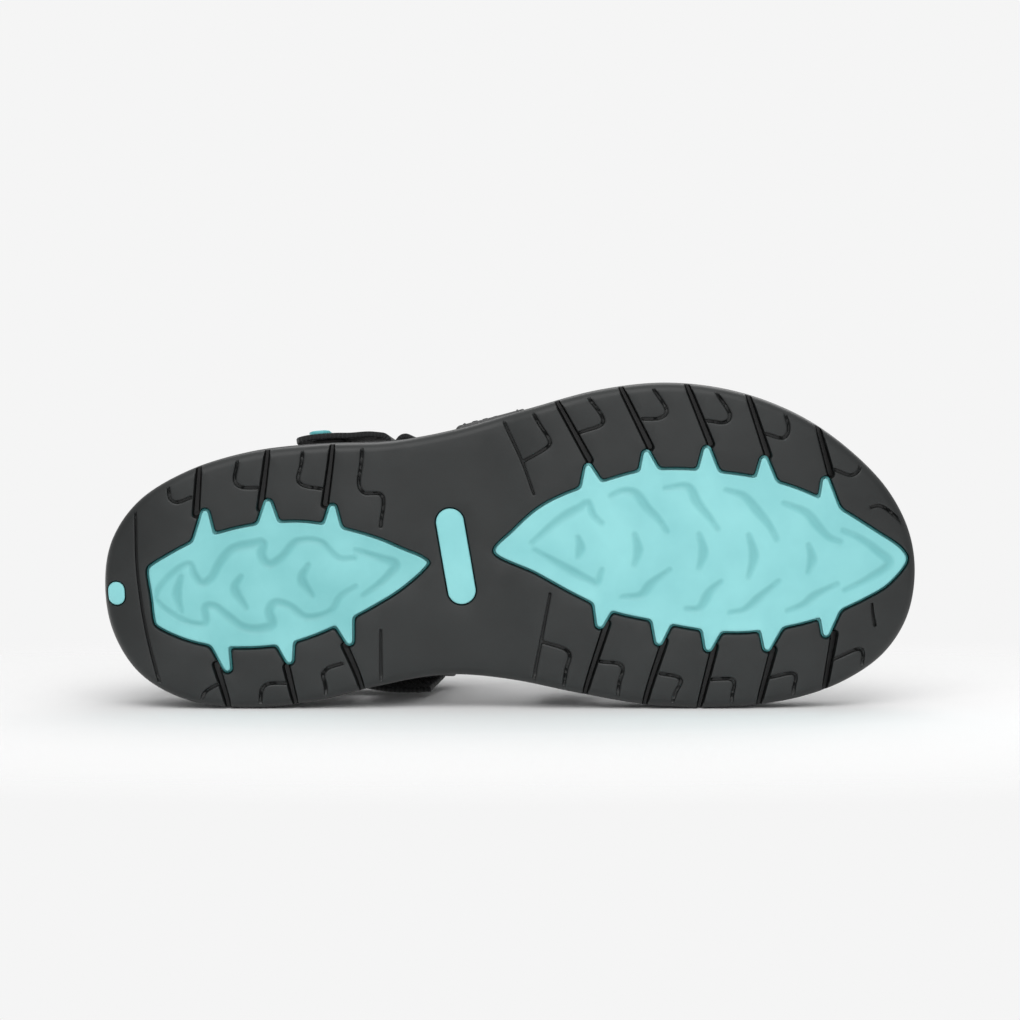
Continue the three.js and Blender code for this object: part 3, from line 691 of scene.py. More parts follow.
def sheet(ring: Points, lines: list, spacing: float, clear: float = 1.0) -> tuple:
    """Covers the inside of a ring with triangles whose edges follow lines.

    Args:
        ring: the sheet's edge in plan.
        lines: (points, closed) for each line that edges have to follow.
        spacing: the distance between the loose points that fill the rest.
        clear: how far loose points keep from the lines.

    Returns:
        The points in plan, and the triangles facing up.
    """
    places, edges = [], []

    def add(points: Points, closed: bool) -> None:
        """Adds a line's points and edges."""
        first = sum(map(len, places))
        places.append(points)
        count = len(points)
        edges.extend((first + i, first + (i + 1) % count) for i in range(count - (not closed)))

    add(ring, True)
    for points, closed in lines:
        near = ring_field(points, ring) < 0.5
        if near.all():
            add(points, closed)
            continue
        cuts = np.nonzero(np.diff(near.astype(int)))[0] + 1
        for part, kept in zip(np.split(points, cuts), np.split(near, cuts)):
            if kept[0] and len(part) > 1:
                add(part, False)
    fixed = np.vstack(places)
    low, high = ring.min(0), ring.max(0)
    x, y = (np.arange(low[i] + spacing / 2, high[i], spacing) for i in (0, 1))
    loose = np.stack(np.meshgrid(x, y), axis=-1)
    loose[::2, :, 0] += spacing / 2
    loose = loose.reshape(-1, 2)
    loose = loose[ring_field(loose, ring) < -clear]
    cells = {(int(px // clear), int(py // clear)) for px, py in fixed}
    free = [
        not any((int(px // clear) + i, int(py // clear) + j) in cells
                for i in (-1, 0, 1) for j in (-1, 0, 1))
        for px, py in loose
    ]
    everything = np.vstack([fixed, loose[free]])
    made = delaunay_2d_cdt([Vector(p) for p in everything], edges, [], 0, 1e-5, False)
    points = np.array([tuple(v) for v in made[0]])
    faces = np.array([f for f in made[2] if len(f) == 3])
    middles = points[faces].mean(axis=1)
    faces = faces[ring_field(middles, ring) < 0]
    a, b, c = (points[faces[:, i]] for i in range(3))
    area = np.cross(b - a, c - a)
    faces = faces[np.abs(area) > 1e-7]
    area = area[np.abs(area) > 1e-7]
    faces[area < 0] = faces[area < 0][:, ::-1]
    used = np.unique(faces)
    order = np.zeros(len(points), int)
    order[used] = np.arange(len(used))
    return points[used], order[faces]


def border(faces: np.ndarray) -> np.ndarray:
    """Returns the vertices round the outside of a sheet of triangles, in order."""
    edges = {(a, b) for f in faces.tolist() for a, b in zip(f, f[1:] + f[:1])}
    following = {a: b for a, b in edges if (b, a) not in edges}
    loop = [next(iter(following))]
    while following[loop[-1]] != loop[0]:
        loop.append(following[loop[-1]])
    return np.array(loop)


class Slab:
    """A closed body that is shaped by a height field on one face and rows of points round it."""

    def __init__(self, points: Points, heights: np.ndarray, faces: np.ndarray, up: bool) -> None:
        """Starts with the shaped face.

        Args:
            points: the face's points in plan.
            heights: their heights.
            faces: its triangles, facing up.
            up: whether the shaped face looks up.
        """
        self.points = [np.column_stack([points, heights])]
        self.faces = (faces if up else faces[:, ::-1]).tolist()
        self.count = len(points)
        self.row = border(faces)
        self.start = self.points[0][self.row]
        self.up = up
        along = np.roll(self.start, -1, axis=0) - np.roll(self.start, 1, axis=0)
        along = along[:, :2] / np.linalg.norm(along[:, :2], axis=1)[:, None]
        self.inward = np.column_stack([-along[:, 1], along[:, 0]])

    def wall(self, inset: np.ndarray | float, heights: np.ndarray) -> None:
        """Adds a row of points, in from the edge by a distance and at given heights."""
        row = np.column_stack([self.start[:, :2] + np.reshape(inset, (-1, 1)) * self.inward,
                               heights])
        self.points.append(row)
        fresh = np.arange(self.count, self.count + len(row))
        self.count += len(row)
        for i in range(len(row)):
            j = (i + 1) % len(row)
            quad = [self.row[i], self.row[j], fresh[j], fresh[i]]
            self.faces.append([int(v) for v in (quad[::-1] if self.up else quad)])
        self.row = fresh

    def cap(self, height: Profile, spacing: float = 9) -> None:
        """Closes the body over its last row, at a height that varies along X."""
        ring = self.points[-1][:, :2]
        places, faces = sheet(ring, [], spacing, 3)
        self.points.append(np.column_stack([places, height(places[:, 0])]))
        faces = faces + self.count
        self.count += len(places)
        self.faces += (faces[:, ::-1] if self.up else faces).tolist()

    def object(self, name: str, angle: float = 35) -> bpy.types.Object:
        """Makes the body's object, shaded smooth except over sharp edges."""
        made = mesh_object(name, np.vstack(self.points), self.faces)
        face_out(made)
        return smooth(made, angle)


@dataclass
class PlanField:
    """A signed field over the plan, negative inside what it describes."""

    value: Callable[[Points], np.ndarray]
    low: tuple[float, float] = (-133.0, -55.0)
    high: tuple[float, float] = (133.0, 55.0)
    cell: float = 0.3

    def lines(self, levels: Sequence[float], spacing: float) -> list:
        """Follows the field's level lines.

        Args:
            levels: the field values to follow.
            spacing: the distance between points on a line.

        Returns:
            (points, closed) for each line.
        """
        x, y = (np.arange(self.low[i], self.high[i], self.cell) for i in (0, 1))
        grid = np.stack(np.meshgrid(x, y), axis=-1)
        values = self.value(grid.reshape(-1, 2)).reshape(grid.shape[:2])
        found = []
        for level in levels:
            for points, closed in level_lines(values, x, y, level):
                if np.linalg.norm(np.ptp(points, axis=0)) > 2 * self.cell:
                    found.append((evenly(points, spacing, closed), closed))
        return found


def snapped(values: np.ndarray, levels: Sequence[float], within: float = 0.06) -> np.ndarray:
    """Returns values, with those close to a level moved onto it."""
    for level in levels:
        values = np.where(np.abs(values - level) < within, level, values)
    return values


# ---------- tread pods ----------


@dataclass
class TreadPod:
    """A leaf-shaped tread insert with thorns round it, and shallow strokes pressed in its face.

    Each thorn is given by one foot, its tip and its other foot. The face's profile pairs how far
    outside the rim a place is with how far it is set back from the face.
    """

    name: str
    leaf: tuple
    thorns: tuple
    strokes: tuple
    finish: MouldedRubber
    recess: float = 0.9
    tip_radius: float = 1.9
    web: float = 1.1
    stroke_width: float = 2.3
    stroke_depth: float = 0.5
    stroke_shade: float = 0.36
    margin: float = 12.0
    thorn_reach: float = 16.0
    root_depth: float = 2.2
    root_widening: float = 1.35
    back_gap: float = 0.4
    rim_fade: tuple[float, float] = (-1.8, -0.6)
    rim_shade: tuple[float, float] = (-0.62, -0.4)
    face_profile: tuple = ((-1.5, 0.0), (-1.05, -0.12), (-0.75, 0.0), (-0.6, 0.55), (-0.5, 1.3),
                           (0.0, 1.45))
    step_levels: tuple = (1.0, 0.5, 0.0, -0.5, -0.9)

    def __post_init__(self) -> None:
        """Works out the leaf's outline and the box that holds the whole pod."""
        self.ring = evenly(centripetal(self.leaf, True), 1.0, True)
        self.low = tuple(self.ring.min(0) - self.margin)
        self.high = tuple(self.ring.max(0) + self.margin)

    def field(self, points: Points) -> np.ndarray:
        """Measures how far points are outside the pod; negative inside it."""
        out = np.full(len(points), FAR)
        near = np.all((points > self.low) & (points < self.high), axis=1)
        p = points[near]
        value = ring_field(p, self.ring)
        for left, tip, right in self.thorns:
            left, tip, right = (np.array(v, float) for v in (left, tip, right))
            root = (left + right) / 2
            outward = (tip - root) / np.linalg.norm(tip - root)
            half = (right - left) / 2
            half = half * (self.root_widening - self.tip_radius / np.linalg.norm(half))
            back = root - outward * self.root_depth
            triangle = np.array([back - half, tip - outward * self.tip_radius, back + half])
            close = np.linalg.norm(p - root, axis=1) < self.thorn_reach
            spike = ring_field(p[close], triangle) - self.tip_radius
            value[close] = soft_min(value[close], spike, self.web)
        out[near] = np.minimum(value, FAR)
        return out

    def stroke_at(self, points: Points) -> np.ndarray:
        """Measures how far points are outside the pressed strokes."""
        value = np.full(len(points), FAR)
        for stroke in self.strokes:
            line = evenly(centripetal(stroke, False), 1.0)
            half = len(line) // 2 + 1
            width = self.stroke_width
            value = np.minimum(value, stroke_field(points, line[:half], width * 0.35, width))
            value = np.minimum(value, stroke_field(points, line[half - 1 :], width, width * 0.35))
        return value

    def build(self) -> bpy.types.Object:
        """Builds the pod, a closed body that sits in its window with a fine gap round it."""
        outline = PlanField(self.field, self.low, self.high)
        edge = max(outline.lines([-GAP], 0.7), key=lambda line: len(line[0]))[0]
        if np.cross(edge, np.roll(edge, -1, axis=0)).sum() < 0:
            edge = edge[::-1]
        rims = [level - GAP for level, _ in self.face_profile[:-1]]
        lines = outline.lines(rims, 0.8)
        strokes = PlanField(self.stroke_at, self.low, self.high)
        lines += strokes.lines(self.step_levels, 0.9)
        points, faces = sheet(edge, lines, 4)
        rim = self.field(points) + GAP
        stroke = self.stroke_at(points)
        inside = 1 - ease(*self.rim_fade, rim)
        sunk = (1 - ease(self.step_levels[-1], self.step_levels[0], stroke)) * inside
        level, rise = np.array(self.face_profile).T
        face = ground(points[:, 0]) + self.recess + np.interp(rim, level, rise)
        face = face + self.stroke_depth * sunk
        body = Slab(points, face, faces, up=False)
        body.wall(0, ground(body.start[:, 0]) + TREAD - self.back_gap)
        body.cap(lambda x: ground(x) + TREAD - self.back_gap)
        made = body.object(self.name + "_insert", 40)
        # Painted shade: the pressed strokes' step faces and a thin line round the rim, where the pod meets
        # its window, are darkened.
        place = coordinates(made)[:, :2]
        rim = self.field(place) + GAP
        stroke = 1 - ease(-0.5, self.step_levels[0] + 0.3, self.stroke_at(place))
        stroke *= self.stroke_shade * (1 - ease(*self.rim_fade, rim))
        paint(made, "sunk", np.maximum(stroke, ease(*self.rim_shade, rim)))
        fit(made, self.finish, self.name)
        return made


FOREFOOT_POD = TreadPod(
    "forefoot_pod",
    leaf=((-6, 2.1), (0.3, -5.3), (8.4, -12.6), (17.4, -17.3), (28.8, -21.1), (40.7, -24.4),
          (53, -25.2), (66.2, -24.2), (77.9, -22.5), (91, -19), (104.5, -12.6), (117, -4.8),
          (126, 1.5), (128, 5.4), (122, 13.2), (114.5, 17.7), (98.7, 24.2), (86.5, 27),
          (73, 28.4), (60.7, 27.5), (44.8, 24.5), (32.2, 21.6), (20, 16), (8, 9.4)),
    thorns=(((22.1, -18.8), (24.3, -26.6), (28.8, -21.1)), ((40.7, -24.4), (42.8, -31), (47.2, -24.7)),
            ((59.4, -24.8), (62.2, -32.3), (66.2, -24.2)), ((77.9, -22.5), (80.5, -29), (84.7, -20.6)),
            ((98.5, -15.8), (100.2, -22.2), (104.5, -12.6)), ((105.2, 21.2), (100.5, 30.2), (98.7, 24.2)),
            ((86.5, 27), (81.5, 34.4), (79.4, 28)), ((67.2, 28), (62.7, 34.4), (60.7, 27.5)),
            ((51, 26.3), (47, 32.4), (44.8, 24.5)), ((32.2, 21.6), (28.1, 27), (26.3, 18.7))),
    strokes=(((6.6, -0.9), (15.6, -8.5), (21.8, -12.1), (24.5, -13.7), (26.3, -9.8), (29, -7.1)),
             ((31.7, -15.9), (35.8, -17.5), (39.4, -17), (43.4, -12.1), (47, -8.5), (49.7, -4.5)),
             ((49.2, -18.4), (56.5, -18.8), (59.4, -13.8), (63, -9.3), (65.9, -5.3)),
             ((68.5, -17.8), (74.4, -15.8), (78.4, -11.3), (82.5, -6.3), (84.9, -1.8)),
             ((87, -13.5), (94.5, -10.3), (97.9, -6.3), (101.9, -2.3), (105.5, -0.8)),
             ((106.2, -4.5), (112, -1.8), (117.5, 2.2), (121.5, 6.2), (114.5, 11.2), (107, 14.7)),
             ((7.5, 1.4), (13.8, 5), (21.8, 9.5), (26.3, 11.7), (27.2, 12.2), (29, 7.7)),
             ((35.3, 16.5), (41.6, 15.8), (44.3, 12.6), (50.6, 7.7)),
             ((55.9, 20.2), (59.9, 20.2), (63.4, 14.7), (67, 11.5)),
             ((69.9, 21.5), (74.4, 20.7), (79.4, 16.7), (85.5, 11.5)),
             ((88.5, 21), (93.5, 19.2), (97, 16.5), (104.5, 12.7)),
             ((21.4, -2.7), (22.2, 0.5), (21.4, 3.7)), ((39.4, -3.7), (40.6, 1.2), (39.4, 6.2)),
             ((60, -3.7), (61.4, 1.8), (60, 7.2)), ((75.9, -3.4), (77.5, 3.3), (75.9, 10)),
             ((95.1, 0), (96.3, 4.4), (95.1, 8.8))),
    finish=FOREFOOT_RUBBER,
)
HEEL_POD = TreadPod(
    "heel_pod",
    leaf=((-115.6, 6.1), (-109.4, 2.2), (-101.2, -2), (-88, -6.2), (-77.4, -7.9), (-66, -8.3),
          (-54.1, -6.3), (-41.9, -2.8), (-34.2, 0.6), (-27.8, 3.4), (-25.6, 5.4), (-27.3, 8),
          (-35.1, 14.7), (-42.8, 19.4), (-50.3, 23.5), (-62, 29), (-72, 32), (-84, 33.2),
          (-95.5, 32.6), (-105.3, 30.1), (-113.4, 26.2), (-114.2, 25.1), (-115.4, 16.4), (-116.6, 8.2),
          (-116.3, 6.9)),
    thorns=(((-101.2, -2.4), (-97.4, -12.2), (-94.5, -3.6)), ((-80.8, -7.7), (-77.4, -15.3), (-73.9, -7.5)),
            ((-59.7, -8.2), (-56.9, -13.8), (-54.1, -6.3)), ((-50.3, 23.5), (-51.1, 32.4), (-55.7, 26.7)),
            ((-69.1, 31), (-70.4, 38.4), (-74.7, 32.6)), ((-89.8, 32.6), (-90, 41), (-95.5, 32.6))),
    strokes=(((-113.7, 16.2), (-112.3, 13.4), (-107.8, 8.5), (-102.5, 5.8), (-100.9, 9.3),
              (-98.4, 12.1), (-95.5, 10.1), (-93.1, 5.6), (-89, 1.1), (-82.5, -0.5), (-79.2, -0.9),
              (-79.6, 3.1), (-77.2, 6), (-73.5, 4), (-68.5, -1.3), (-60.8, -1.3), (-57.8, 1.4),
              (-54.8, 4), (-50, 4)),
             ((-49.6, 1.4), (-41.5, 4), (-36.8, 6.1), (-39.4, 10), (-47.1, 16)),
             ((-113.5, 17.5), (-109.4, 21.1), (-102.1, 24.8), (-97.6, 24.8), (-97.6, 19.5),
              (-94.7, 19.3), (-90.6, 22.3), (-85.7, 26), (-80.8, 26.8), (-76.3, 25.2),
              (-77.2, 20.7), (-75.5, 18.3), (-70.8, 19.2), (-65.1, 22.9), (-57.3, 20.7),
              (-54.8, 16.5), (-49.6, 13)),
             ((-105.3, 9.8), (-106.6, 15.4), (-105.3, 21)), ((-86.1, 9.7), (-88.2, 13.4), (-84.5, 19.9)),
             ((-64.7, 6.1), (-66.8, 10.4), (-63.4, 16))),
    finish=HEEL_RUBBER,
)


# ---------- the sole unit ----------

# Each tread groove and each hook that branches from it, from its inner end out through the edge.
MAIN_GROOVES = (
    ((25.1, -27.3), (16.2, -43.3), (13.5, -48)), ((44.4, -31.5), (35.5, -49.4), (33.7, -53)),
    ((63.7, -32.5), (56.6, -49.9), (55, -53.6)), ((82, -28.7), (76.3, -45.6), (74.6, -50.6)),
    ((102.2, -22.6), (98.4, -36.2), (97, -41.6)), ((30.8, 24.8), (24.7, 43.6), (22.8, 50.5)),
    ((49.1, 30.5), (43.9, 46.4), (41.8, 54.5)), ((65.1, 32.3), (60.8, 49.2), (59.4, 55)),
    ((83.9, 33.3), (80.1, 47.4), (78.6, 53.6)), ((103.6, 28.6), (100.8, 44.5), (99.8, 50)),
    ((-100.4, -10.1), (-99.6, -21.7), (-99.2, -28)), ((-79.9, -12), (-77.9, -27.1), (-77.2, -33.5)),
    ((-59.3, -13.2), (-57.4, -27.1), (-56.6, -35)), ((-94.2, 38.1), (-90.7, 49.7), (-89.6, 55)),
    ((-71.7, 38.8), (-69.4, 48.2), (-68, 53.5)), ((-53.1, 31.9), (-48.8, 41.9), (-46.4, 49.6)),
)
HOOKS = (
    ((3.6, -26.8), (11.5, -31.5), (12.5, -32.9), (8.7, -39.5), (4.6, -46.6)),
    ((21.9, -36.2), (29.4, -39.5), (24.2, -48), (22, -52)),
    ((42, -40.5), (47.7, -40.9), (49.6, -42.8), (44.9, -50.8), (43.4, -54)),
    ((62.2, -40), (68.4, -39.5), (69.8, -41.4), (65.1, -49.4), (63.4, -53)),
    ((81, -35.8), (87.1, -34.4), (88.5, -37.2), (87.1, -42.8), (86, -47.4)),
    ((103.6, -24), (109.2, -22.2), (111.6, -24.5), (111.1, -28.7), (110.8, -32.4)),
    ((9.6, 30.5), (18.6, 34.2), (17.6, 39.8), (16.2, 49.4)),
    ((28.4, 37), (35.5, 38.4), (34.5, 44.5), (33.6, 52.6)),
    ((47.7, 40.8), (54.3, 42.7), (52.4, 47.4), (50.4, 54.6)),
    ((64.1, 42.7), (71.2, 43.1), (70.7, 47.8), (70.2, 54.8)),
    ((82.9, 42.2), (90.9, 41.3), (90.4, 46.4), (90, 52.4)),
    ((103.6, 36.6), (112.5, 33.8), (112.5, 39.9), (112.6, 44.6)),
    ((-102, -15.5), (-106.7, -13.9), (-108.6, -15.1), (-109, -17.4), (-109.6, -23.4)),
    ((-79.5, -18.6), (-86.5, -19), (-88, -20.9), (-87.3, -25.6), (-86.6, -32)),
    ((-59.7, -18.2), (-66.3, -19.4), (-67.8, -20.9), (-66.7, -26.4), (-66, -35)),
    ((-41.5, -6.2), (-41.1, -16.3), (-46.9, -17), (-48.4, -19.4), (-47.7, -26.4), (-47, -36)),
    ((-92, 43.6), (-96, 45.6), (-98.1, 47.4), (-99, 54)),
    ((-71, 43.9), (-77.9, 44.3), (-79.5, 45.8), (-79.9, 55)),
    ((-53.9, 37.7), (-58.5, 39.2), (-60.1, 41.1), (-59.3, 44.3), (-58.8, 53)),
    ((115.3, -11.8), (118.1, -12.3), (123, -9), (127.5, -4.2)),
)
SLITS = (
    ((-119.8, -17), (-119.7, -6.2), (-119.4, 6), (-118.2, 17), (-116.3, 28), (-113.6, 39), (-110.2, 51)),
    ((7.3, -16.5), (3.6, -26.8), (-0.7, -36.2), (-3.6, -42.6)),
    ((12.5, 15.4), (9.6, 30.5), (7.8, 39.8), (6.6, 47.6)),
    ((115.8, 19.2), (116, 22), (116.8, 26.2)),
    ((-41.5, 27), (-41.5, 36.3), (-41.3, 48)),
)


class Badge(Enum):
    """A plain badge: its middle's X and Y, its length, its width and its turn in radians."""

    ARCH = (-17.6, 3.5, 31.0, 9.0, 1.4)
    HEEL = (-126.1, 15.5, 7.4, 5.4, 1.5)

    def field(self, points: Points) -> np.ndarray:
        """Measures how far points are outside the badge."""
        x, y, length, width, turn = self.value
        reach = np.array([math.cos(turn), math.sin(turn)]) * max(0.01, (length - width) / 2)
        middle = np.array([x, y])
        return stroke_field(points, np.array([middle - reach, middle + reach]), width, width)


@dataclass
class Sole:
    """The outsole, the tread pods, the badges, the midsole and the footbed.

    A profile pairs how far outside a cut a place is with how deep it is cut there. The rows of a
    side pair the share of its height with how far in from the outline they are.
    """

    cut_spacing: float = 0.7
    groove_width: tuple[float, float] = (2.4, 1.8)
    hook_width: tuple[float, float] = (1.1, 1.2)
    slit_width: tuple[float, float] = (0.8, 1.1)
    groove_profile: tuple = ((-0.5, 3.4), (-0.16, 2.9), (0.0, 0.42), (0.22, 0.08), (0.5, 0.0))
    hook_depth: float = 0.5
    hook_fade: tuple[float, float] = (0.8, 3.2)
    edge_radius: float = 2.6
    edge_rows: tuple = (0.15, 0.5, 1.0, 1.7)
    side_rows: tuple = ((0.12, 0.0), (0.4, -0.1), (0.47, 0.25), (0.53, 0.25), (0.6, -0.1),
                        (0.86, 0.1), (0.97, 0.3), (1.0, 0.7))
    badge_thickness: float = 1.6
    badge_recess: float = 0.15
    foam_inset: float = 5.0
    foam_rows: tuple = ((1.0, 1.9), (0.985, 1.25), (0.94, 0.8), (0.88, 0.62), (0.74, 0.5),
                        (0.66, 0.55), (0.63, 1.0), (0.585, 1.0), (0.55, 0.5), (0.4, 0.35),
                        (0.2, 0.35), (0.06, 0.5), (0.0, 0.8))
    footbed_inset: float = 6.2
    footbed_height: float = 4.2
    rim_height: tuple[float, float] = (1.4, 5.0)
    rim_width: tuple[float, float] = (3.0, 11.0)
    arch_height: float = 2.2
    crest_height: float = 0.9
    channel_width: float = 2.4
    channel_profile: tuple = ((-0.45, 1.3), (0.0, 0.8), (0.5, 0.0))
    cup_rows: tuple = (0.4, 1.2, 3.0, 6.0, 10.0)

    def deep_cuts(self, points: Points) -> np.ndarray:
        """Measures how far points are outside the main grooves, the windows and the seats."""
        value = nearest(points, MAIN_GROOVES, *self.groove_width)
        for window in (FOREFOOT_POD, HEEL_POD):
            value = np.minimum(value, window.field(points))
        for badge in Badge:
            value = np.minimum(value, badge.field(points) - GAP)
        return value

    def fine_cuts(self, points: Points) -> np.ndarray:
        """Measures how far points are outside the hooks and the slits."""
        hooks = nearest(points, HOOKS, *self.hook_width)
        return np.minimum(hooks, nearest(points, SLITS, *self.slit_width))

    def rounded(self, inset: np.ndarray) -> np.ndarray:
        """Returns how far the tread's edge is rounded up at a distance in from the outline."""
        short = self.edge_radius - np.clip(inset, 0, self.edge_radius)
        return self.edge_radius - np.sqrt(self.edge_radius**2 - short**2)

    def outsole(self) -> bpy.types.Object:
        """Builds the outsole: a tray whose underside is cut by grooves, hooks and windows."""
        levels, depths = np.array(self.groove_profile).T
        lines = PlanField(self.deep_cuts).lines(levels, self.cut_spacing)
        lines += PlanField(self.fine_cuts).lines(levels, self.cut_spacing)
        lines += [(sole_ring(d), True) for d in (*self.edge_rows, self.edge_radius)]
        points, faces = sheet(sole_ring(0), lines, 5)
        inset = -ring_field(points, sole_ring(0))
        cut = np.maximum(
            np.interp(snapped(self.deep_cuts(points), levels), levels, depths),
            np.interp(snapped(self.fine_cuts(points), levels), levels, depths)
            * self.hook_depth * ease(*self.hook_fade, inset),
        )
        face = ground(points[:, 0]) + np.maximum(cut, self.rounded(inset))
        body = Slab(points, face, faces, up=False)
        x, low = body.start[:, 0], body.start[:, 2]
        high = ground(x) + LIP
        for share, inset in self.side_rows:
            body.wall(inset, low + (high - low) * share)
        body.wall(LIP_WALL, high - 0.1)
        body.wall(LIP_WALL, ground(x) + TREAD)
        body.cap(lambda x: ground(x) + TREAD)
        made = body.object("lugged_outsole")
        # Painted shade: the grooves, windows and badge seats are darkened fully, the shallower hooks and
        # slits less, on the underside only.
        place = coordinates(made)
        under = place[:, 2] - ground(place[:, 0]) < TREAD - 0.2
        fine = 1 - ease(-0.3, 0.3, self.fine_cuts(place[:, :2]))
        fine *= self.hook_depth * ease(*self.hook_fade, -ring_field(place[:, :2], sole_ring(0)))
        cut = np.maximum(1 - ease(-0.25, 0.25, self.deep_cuts(place[:, :2])), fine)
        paint(made, "sunk", cut * under)
        fit(made, OUTSOLE_RUBBER, "outsole")
        return made

    def badges(self) -> list[bpy.types.Object]:
        """Builds the plain badges that fill their seats in the outsole."""
        made = []
        for badge, stands_for in ((Badge.ARCH, "arch_badge"), (Badge.HEEL, "heel_badge")):
            x, y, length, width, turn = badge.value
            deselect()
            bpy.ops.mesh.primitive_cylinder_add(vertices=48, radius=width / 2 * MM,
                                                depth=self.badge_thickness * MM)
            plug = bpy.context.object
            plug.name = plug.data.name = stands_for + "_plug"
            place = coordinates(plug)
            place[:, 0] += np.sign(np.round(place[:, 0], 4)) * (length - width) / 2
            set_coordinates(plug, place)
            modify(plug, "BEVEL", width=0.5 * MM, segments=3, limit_method="ANGLE")
            along, across, up = coordinates(plug).T
            place = np.column_stack([x + along * math.cos(turn) - across * math.sin(turn),
                                     y + along * math.sin(turn) + across * math.cos(turn), up])
            place[:, 2] += ground(place[:, 0]) + self.badge_thickness / 2 + self.badge_recess
            set_coordinates(plug, place)
            face_out(plug)
            smooth(plug)
            # The badges get no painted shade.
            paint(plug, "sunk", np.zeros(len(plug.data.vertices)))
            fit(plug, FOREFOOT_RUBBER, stands_for)
            made.append(plug)
        return made

    def midsole(self, cutters: list[bpy.types.Object]) -> bpy.types.Object:
        """Builds the foam midsole with a pinched line round it.

        Args:
            cutters: bodies the size of the slots for the straps' ends. They are used up.

        Returns:
            The midsole.
        """
        points, faces = sheet(sole_ring(self.foam_inset, 2.4), [], 8, 3)
        body = Slab(points, top(points[:, 0]), faces, up=True)
        x = body.start[:, 0]
        high, low = top(x), ground(x) + LIP + GAP
        for share, inset in self.foam_rows:
            body.wall(inset - self.foam_inset, low + (high - low) * share)
        inner = LIP_WALL + GAP - self.foam_inset
        body.wall(inner, low)
        body.wall(inner, ground(x) + TREAD + GAP)
        body.cap(lambda x: ground(x) + TREAD + GAP)
        made = body.object("sculpted_midsole", 50)
        for cutter in cutters:
            modify(made, "BOOLEAN", object=cutter, operation="DIFFERENCE", solver="EXACT")
            bpy.data.objects.remove(cutter)
        smooth(made, 50)
        fit(made, MIDSOLE_FOAM, "midsole")
        return made

    def footbed_face(self, x: np.ndarray, y: np.ndarray, inset: np.ndarray) -> np.ndarray:
        """Returns the footbed's height: a heel cup, an arch bump and a crest under the toes."""
        inner = inset - self.footbed_inset
        heel = 1 - ease(-90, -20, x)
        rim = mix(*self.rim_height, heel) * (1 - ease(0, mix(*self.rim_width, heel), inner))
        arch = self.arch_height * np.exp(-(((x + 22) / 26) ** 2) - ((y - 34) / 13) ** 2)
        crest = self.crest_height * np.exp(-(((x - 62 - 0.25 * y) / 9) ** 2))
        rounding = 0.5 * (1 - ease(0, 1.2, inner))
        height = top(x) + GAP + self.footbed_height
        return height + rim + arch + crest * ease(6, 14, inset) - rounding

    def footbed(self) -> bpy.types.Object:
        """Builds the footbed with its cup, arch bump and flex channels."""
        channels = [((x, -30 + abs(x - 40) * 0.12), (x + 5, 0), (x + 2, 34))
                    for x in (34, 48, 76, 90, 103)]
        channels += [((-112, -2), (-114, 12), (-110, 26)), ((-100, -8), (-103, 11), (-98, 32)),
                     ((-60, -14), (-56, 8), (-60, 34)), ((-44, -16), (-40, 8), (-44, 32))]
        lines = [evenly(centripetal(c, False), 2.0) for c in channels]

        def channel(points: Points) -> np.ndarray:
            """Measures how far points are outside the flex channels."""
            width = self.channel_width
            return np.min([stroke_field(points, line, width, width) for line in lines], axis=0)

        levels, depths = np.array(self.channel_profile).T
        cut_lines = PlanField(channel, cell=0.5).lines(levels[::-1], 1.4)
        cut_lines += [(sole_ring(self.footbed_inset + d, 1.8), True) for d in self.cup_rows]
        points, faces = sheet(sole_ring(self.footbed_inset, 1.8), cut_lines, 3.5)
        inset = -ring_field(points, sole_ring(0, 2))
        face = self.footbed_face(points[:, 0], points[:, 1], inset)
        depth = np.interp(snapped(channel(points), levels), levels, depths)
        body = Slab(points, face - depth, faces, up=True)
        x, high = body.start[:, 0], body.start[:, 2]
        base = top(x) + GAP
        body.wall(-0.15, high - 0.5)
        body.wall(-0.15, base + 0.5)
        body.wall(0.1, base)
        body.cap(lambda x: top(x) + GAP)
        made = body.object("moulded_footbed", 50)
        fit(made, FOOTBED_FOAM, "footbed")
        return made

    def build(self, cutters: list[bpy.types.Object]) -> list[bpy.types.Object]:
        """Builds the whole sole unit and finishes the two pieces hidden in it."""
        SHOCK_FOAM.dress(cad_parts["heel_shock_pad"])
        SHANK_NYLON.dress(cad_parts["shank"])
        pods = [FOREFOOT_POD.build(), HEEL_POD.build()]
        return [self.outsole(), *pods, *self.badges(), self.midsole(cutters), self.footbed()]


# ---------- strap routes ----------

WEBBING, FOLD, RING_REACH, BAR = 1.8, 2.2, 9.0, 2.2
LAYER_GAP, LINING, PAD, PATCH, GRIP = 0.45, 1.8, 4.0, 1.0, 1.2
SEAT_INSET, SEAT_HEIGHT, SLOT_DEPTH = 4.9, 12, 17
SEAM_INSET, SEAM_LIFT, SEAM_START = 2.2, WEBBING / 2 + 0.05, 24


def unit(vectors: Points) -> Points:
    """Returns vectors scaled to a length of 1."""
    return vectors / np.linalg.norm(vectors, axis=1)[:, None]


def over_foot(p: Points) -> Points:
    """Returns the outward direction over the foot, leaning forward on top of the instep."""
    y, z = p[:, 1] - 3, p[:, 2] - 34
    side = np.sign(y)
    slope = (edge_at(p[:, 0] + 8, side) - edge_at(p[:, 0] - 8, side)) / 16
    on_top = np.clip(1 - (y / 44) ** 2, 0, 1)
    return np.column_stack([0.38 * np.maximum(0, z) * on_top - slope * y, y, z])


def round_heel(p: Points) -> Points:
    """Returns the outward direction round the heel, tipped up a little."""
    ahead = p[:, 0] + 82
    out = np.column_stack([(ahead - np.hypot(ahead, 20)) / 2, p[:, 1] - 9])
    return np.column_stack([out, 0.2 * np.linalg.norm(out, axis=1)])


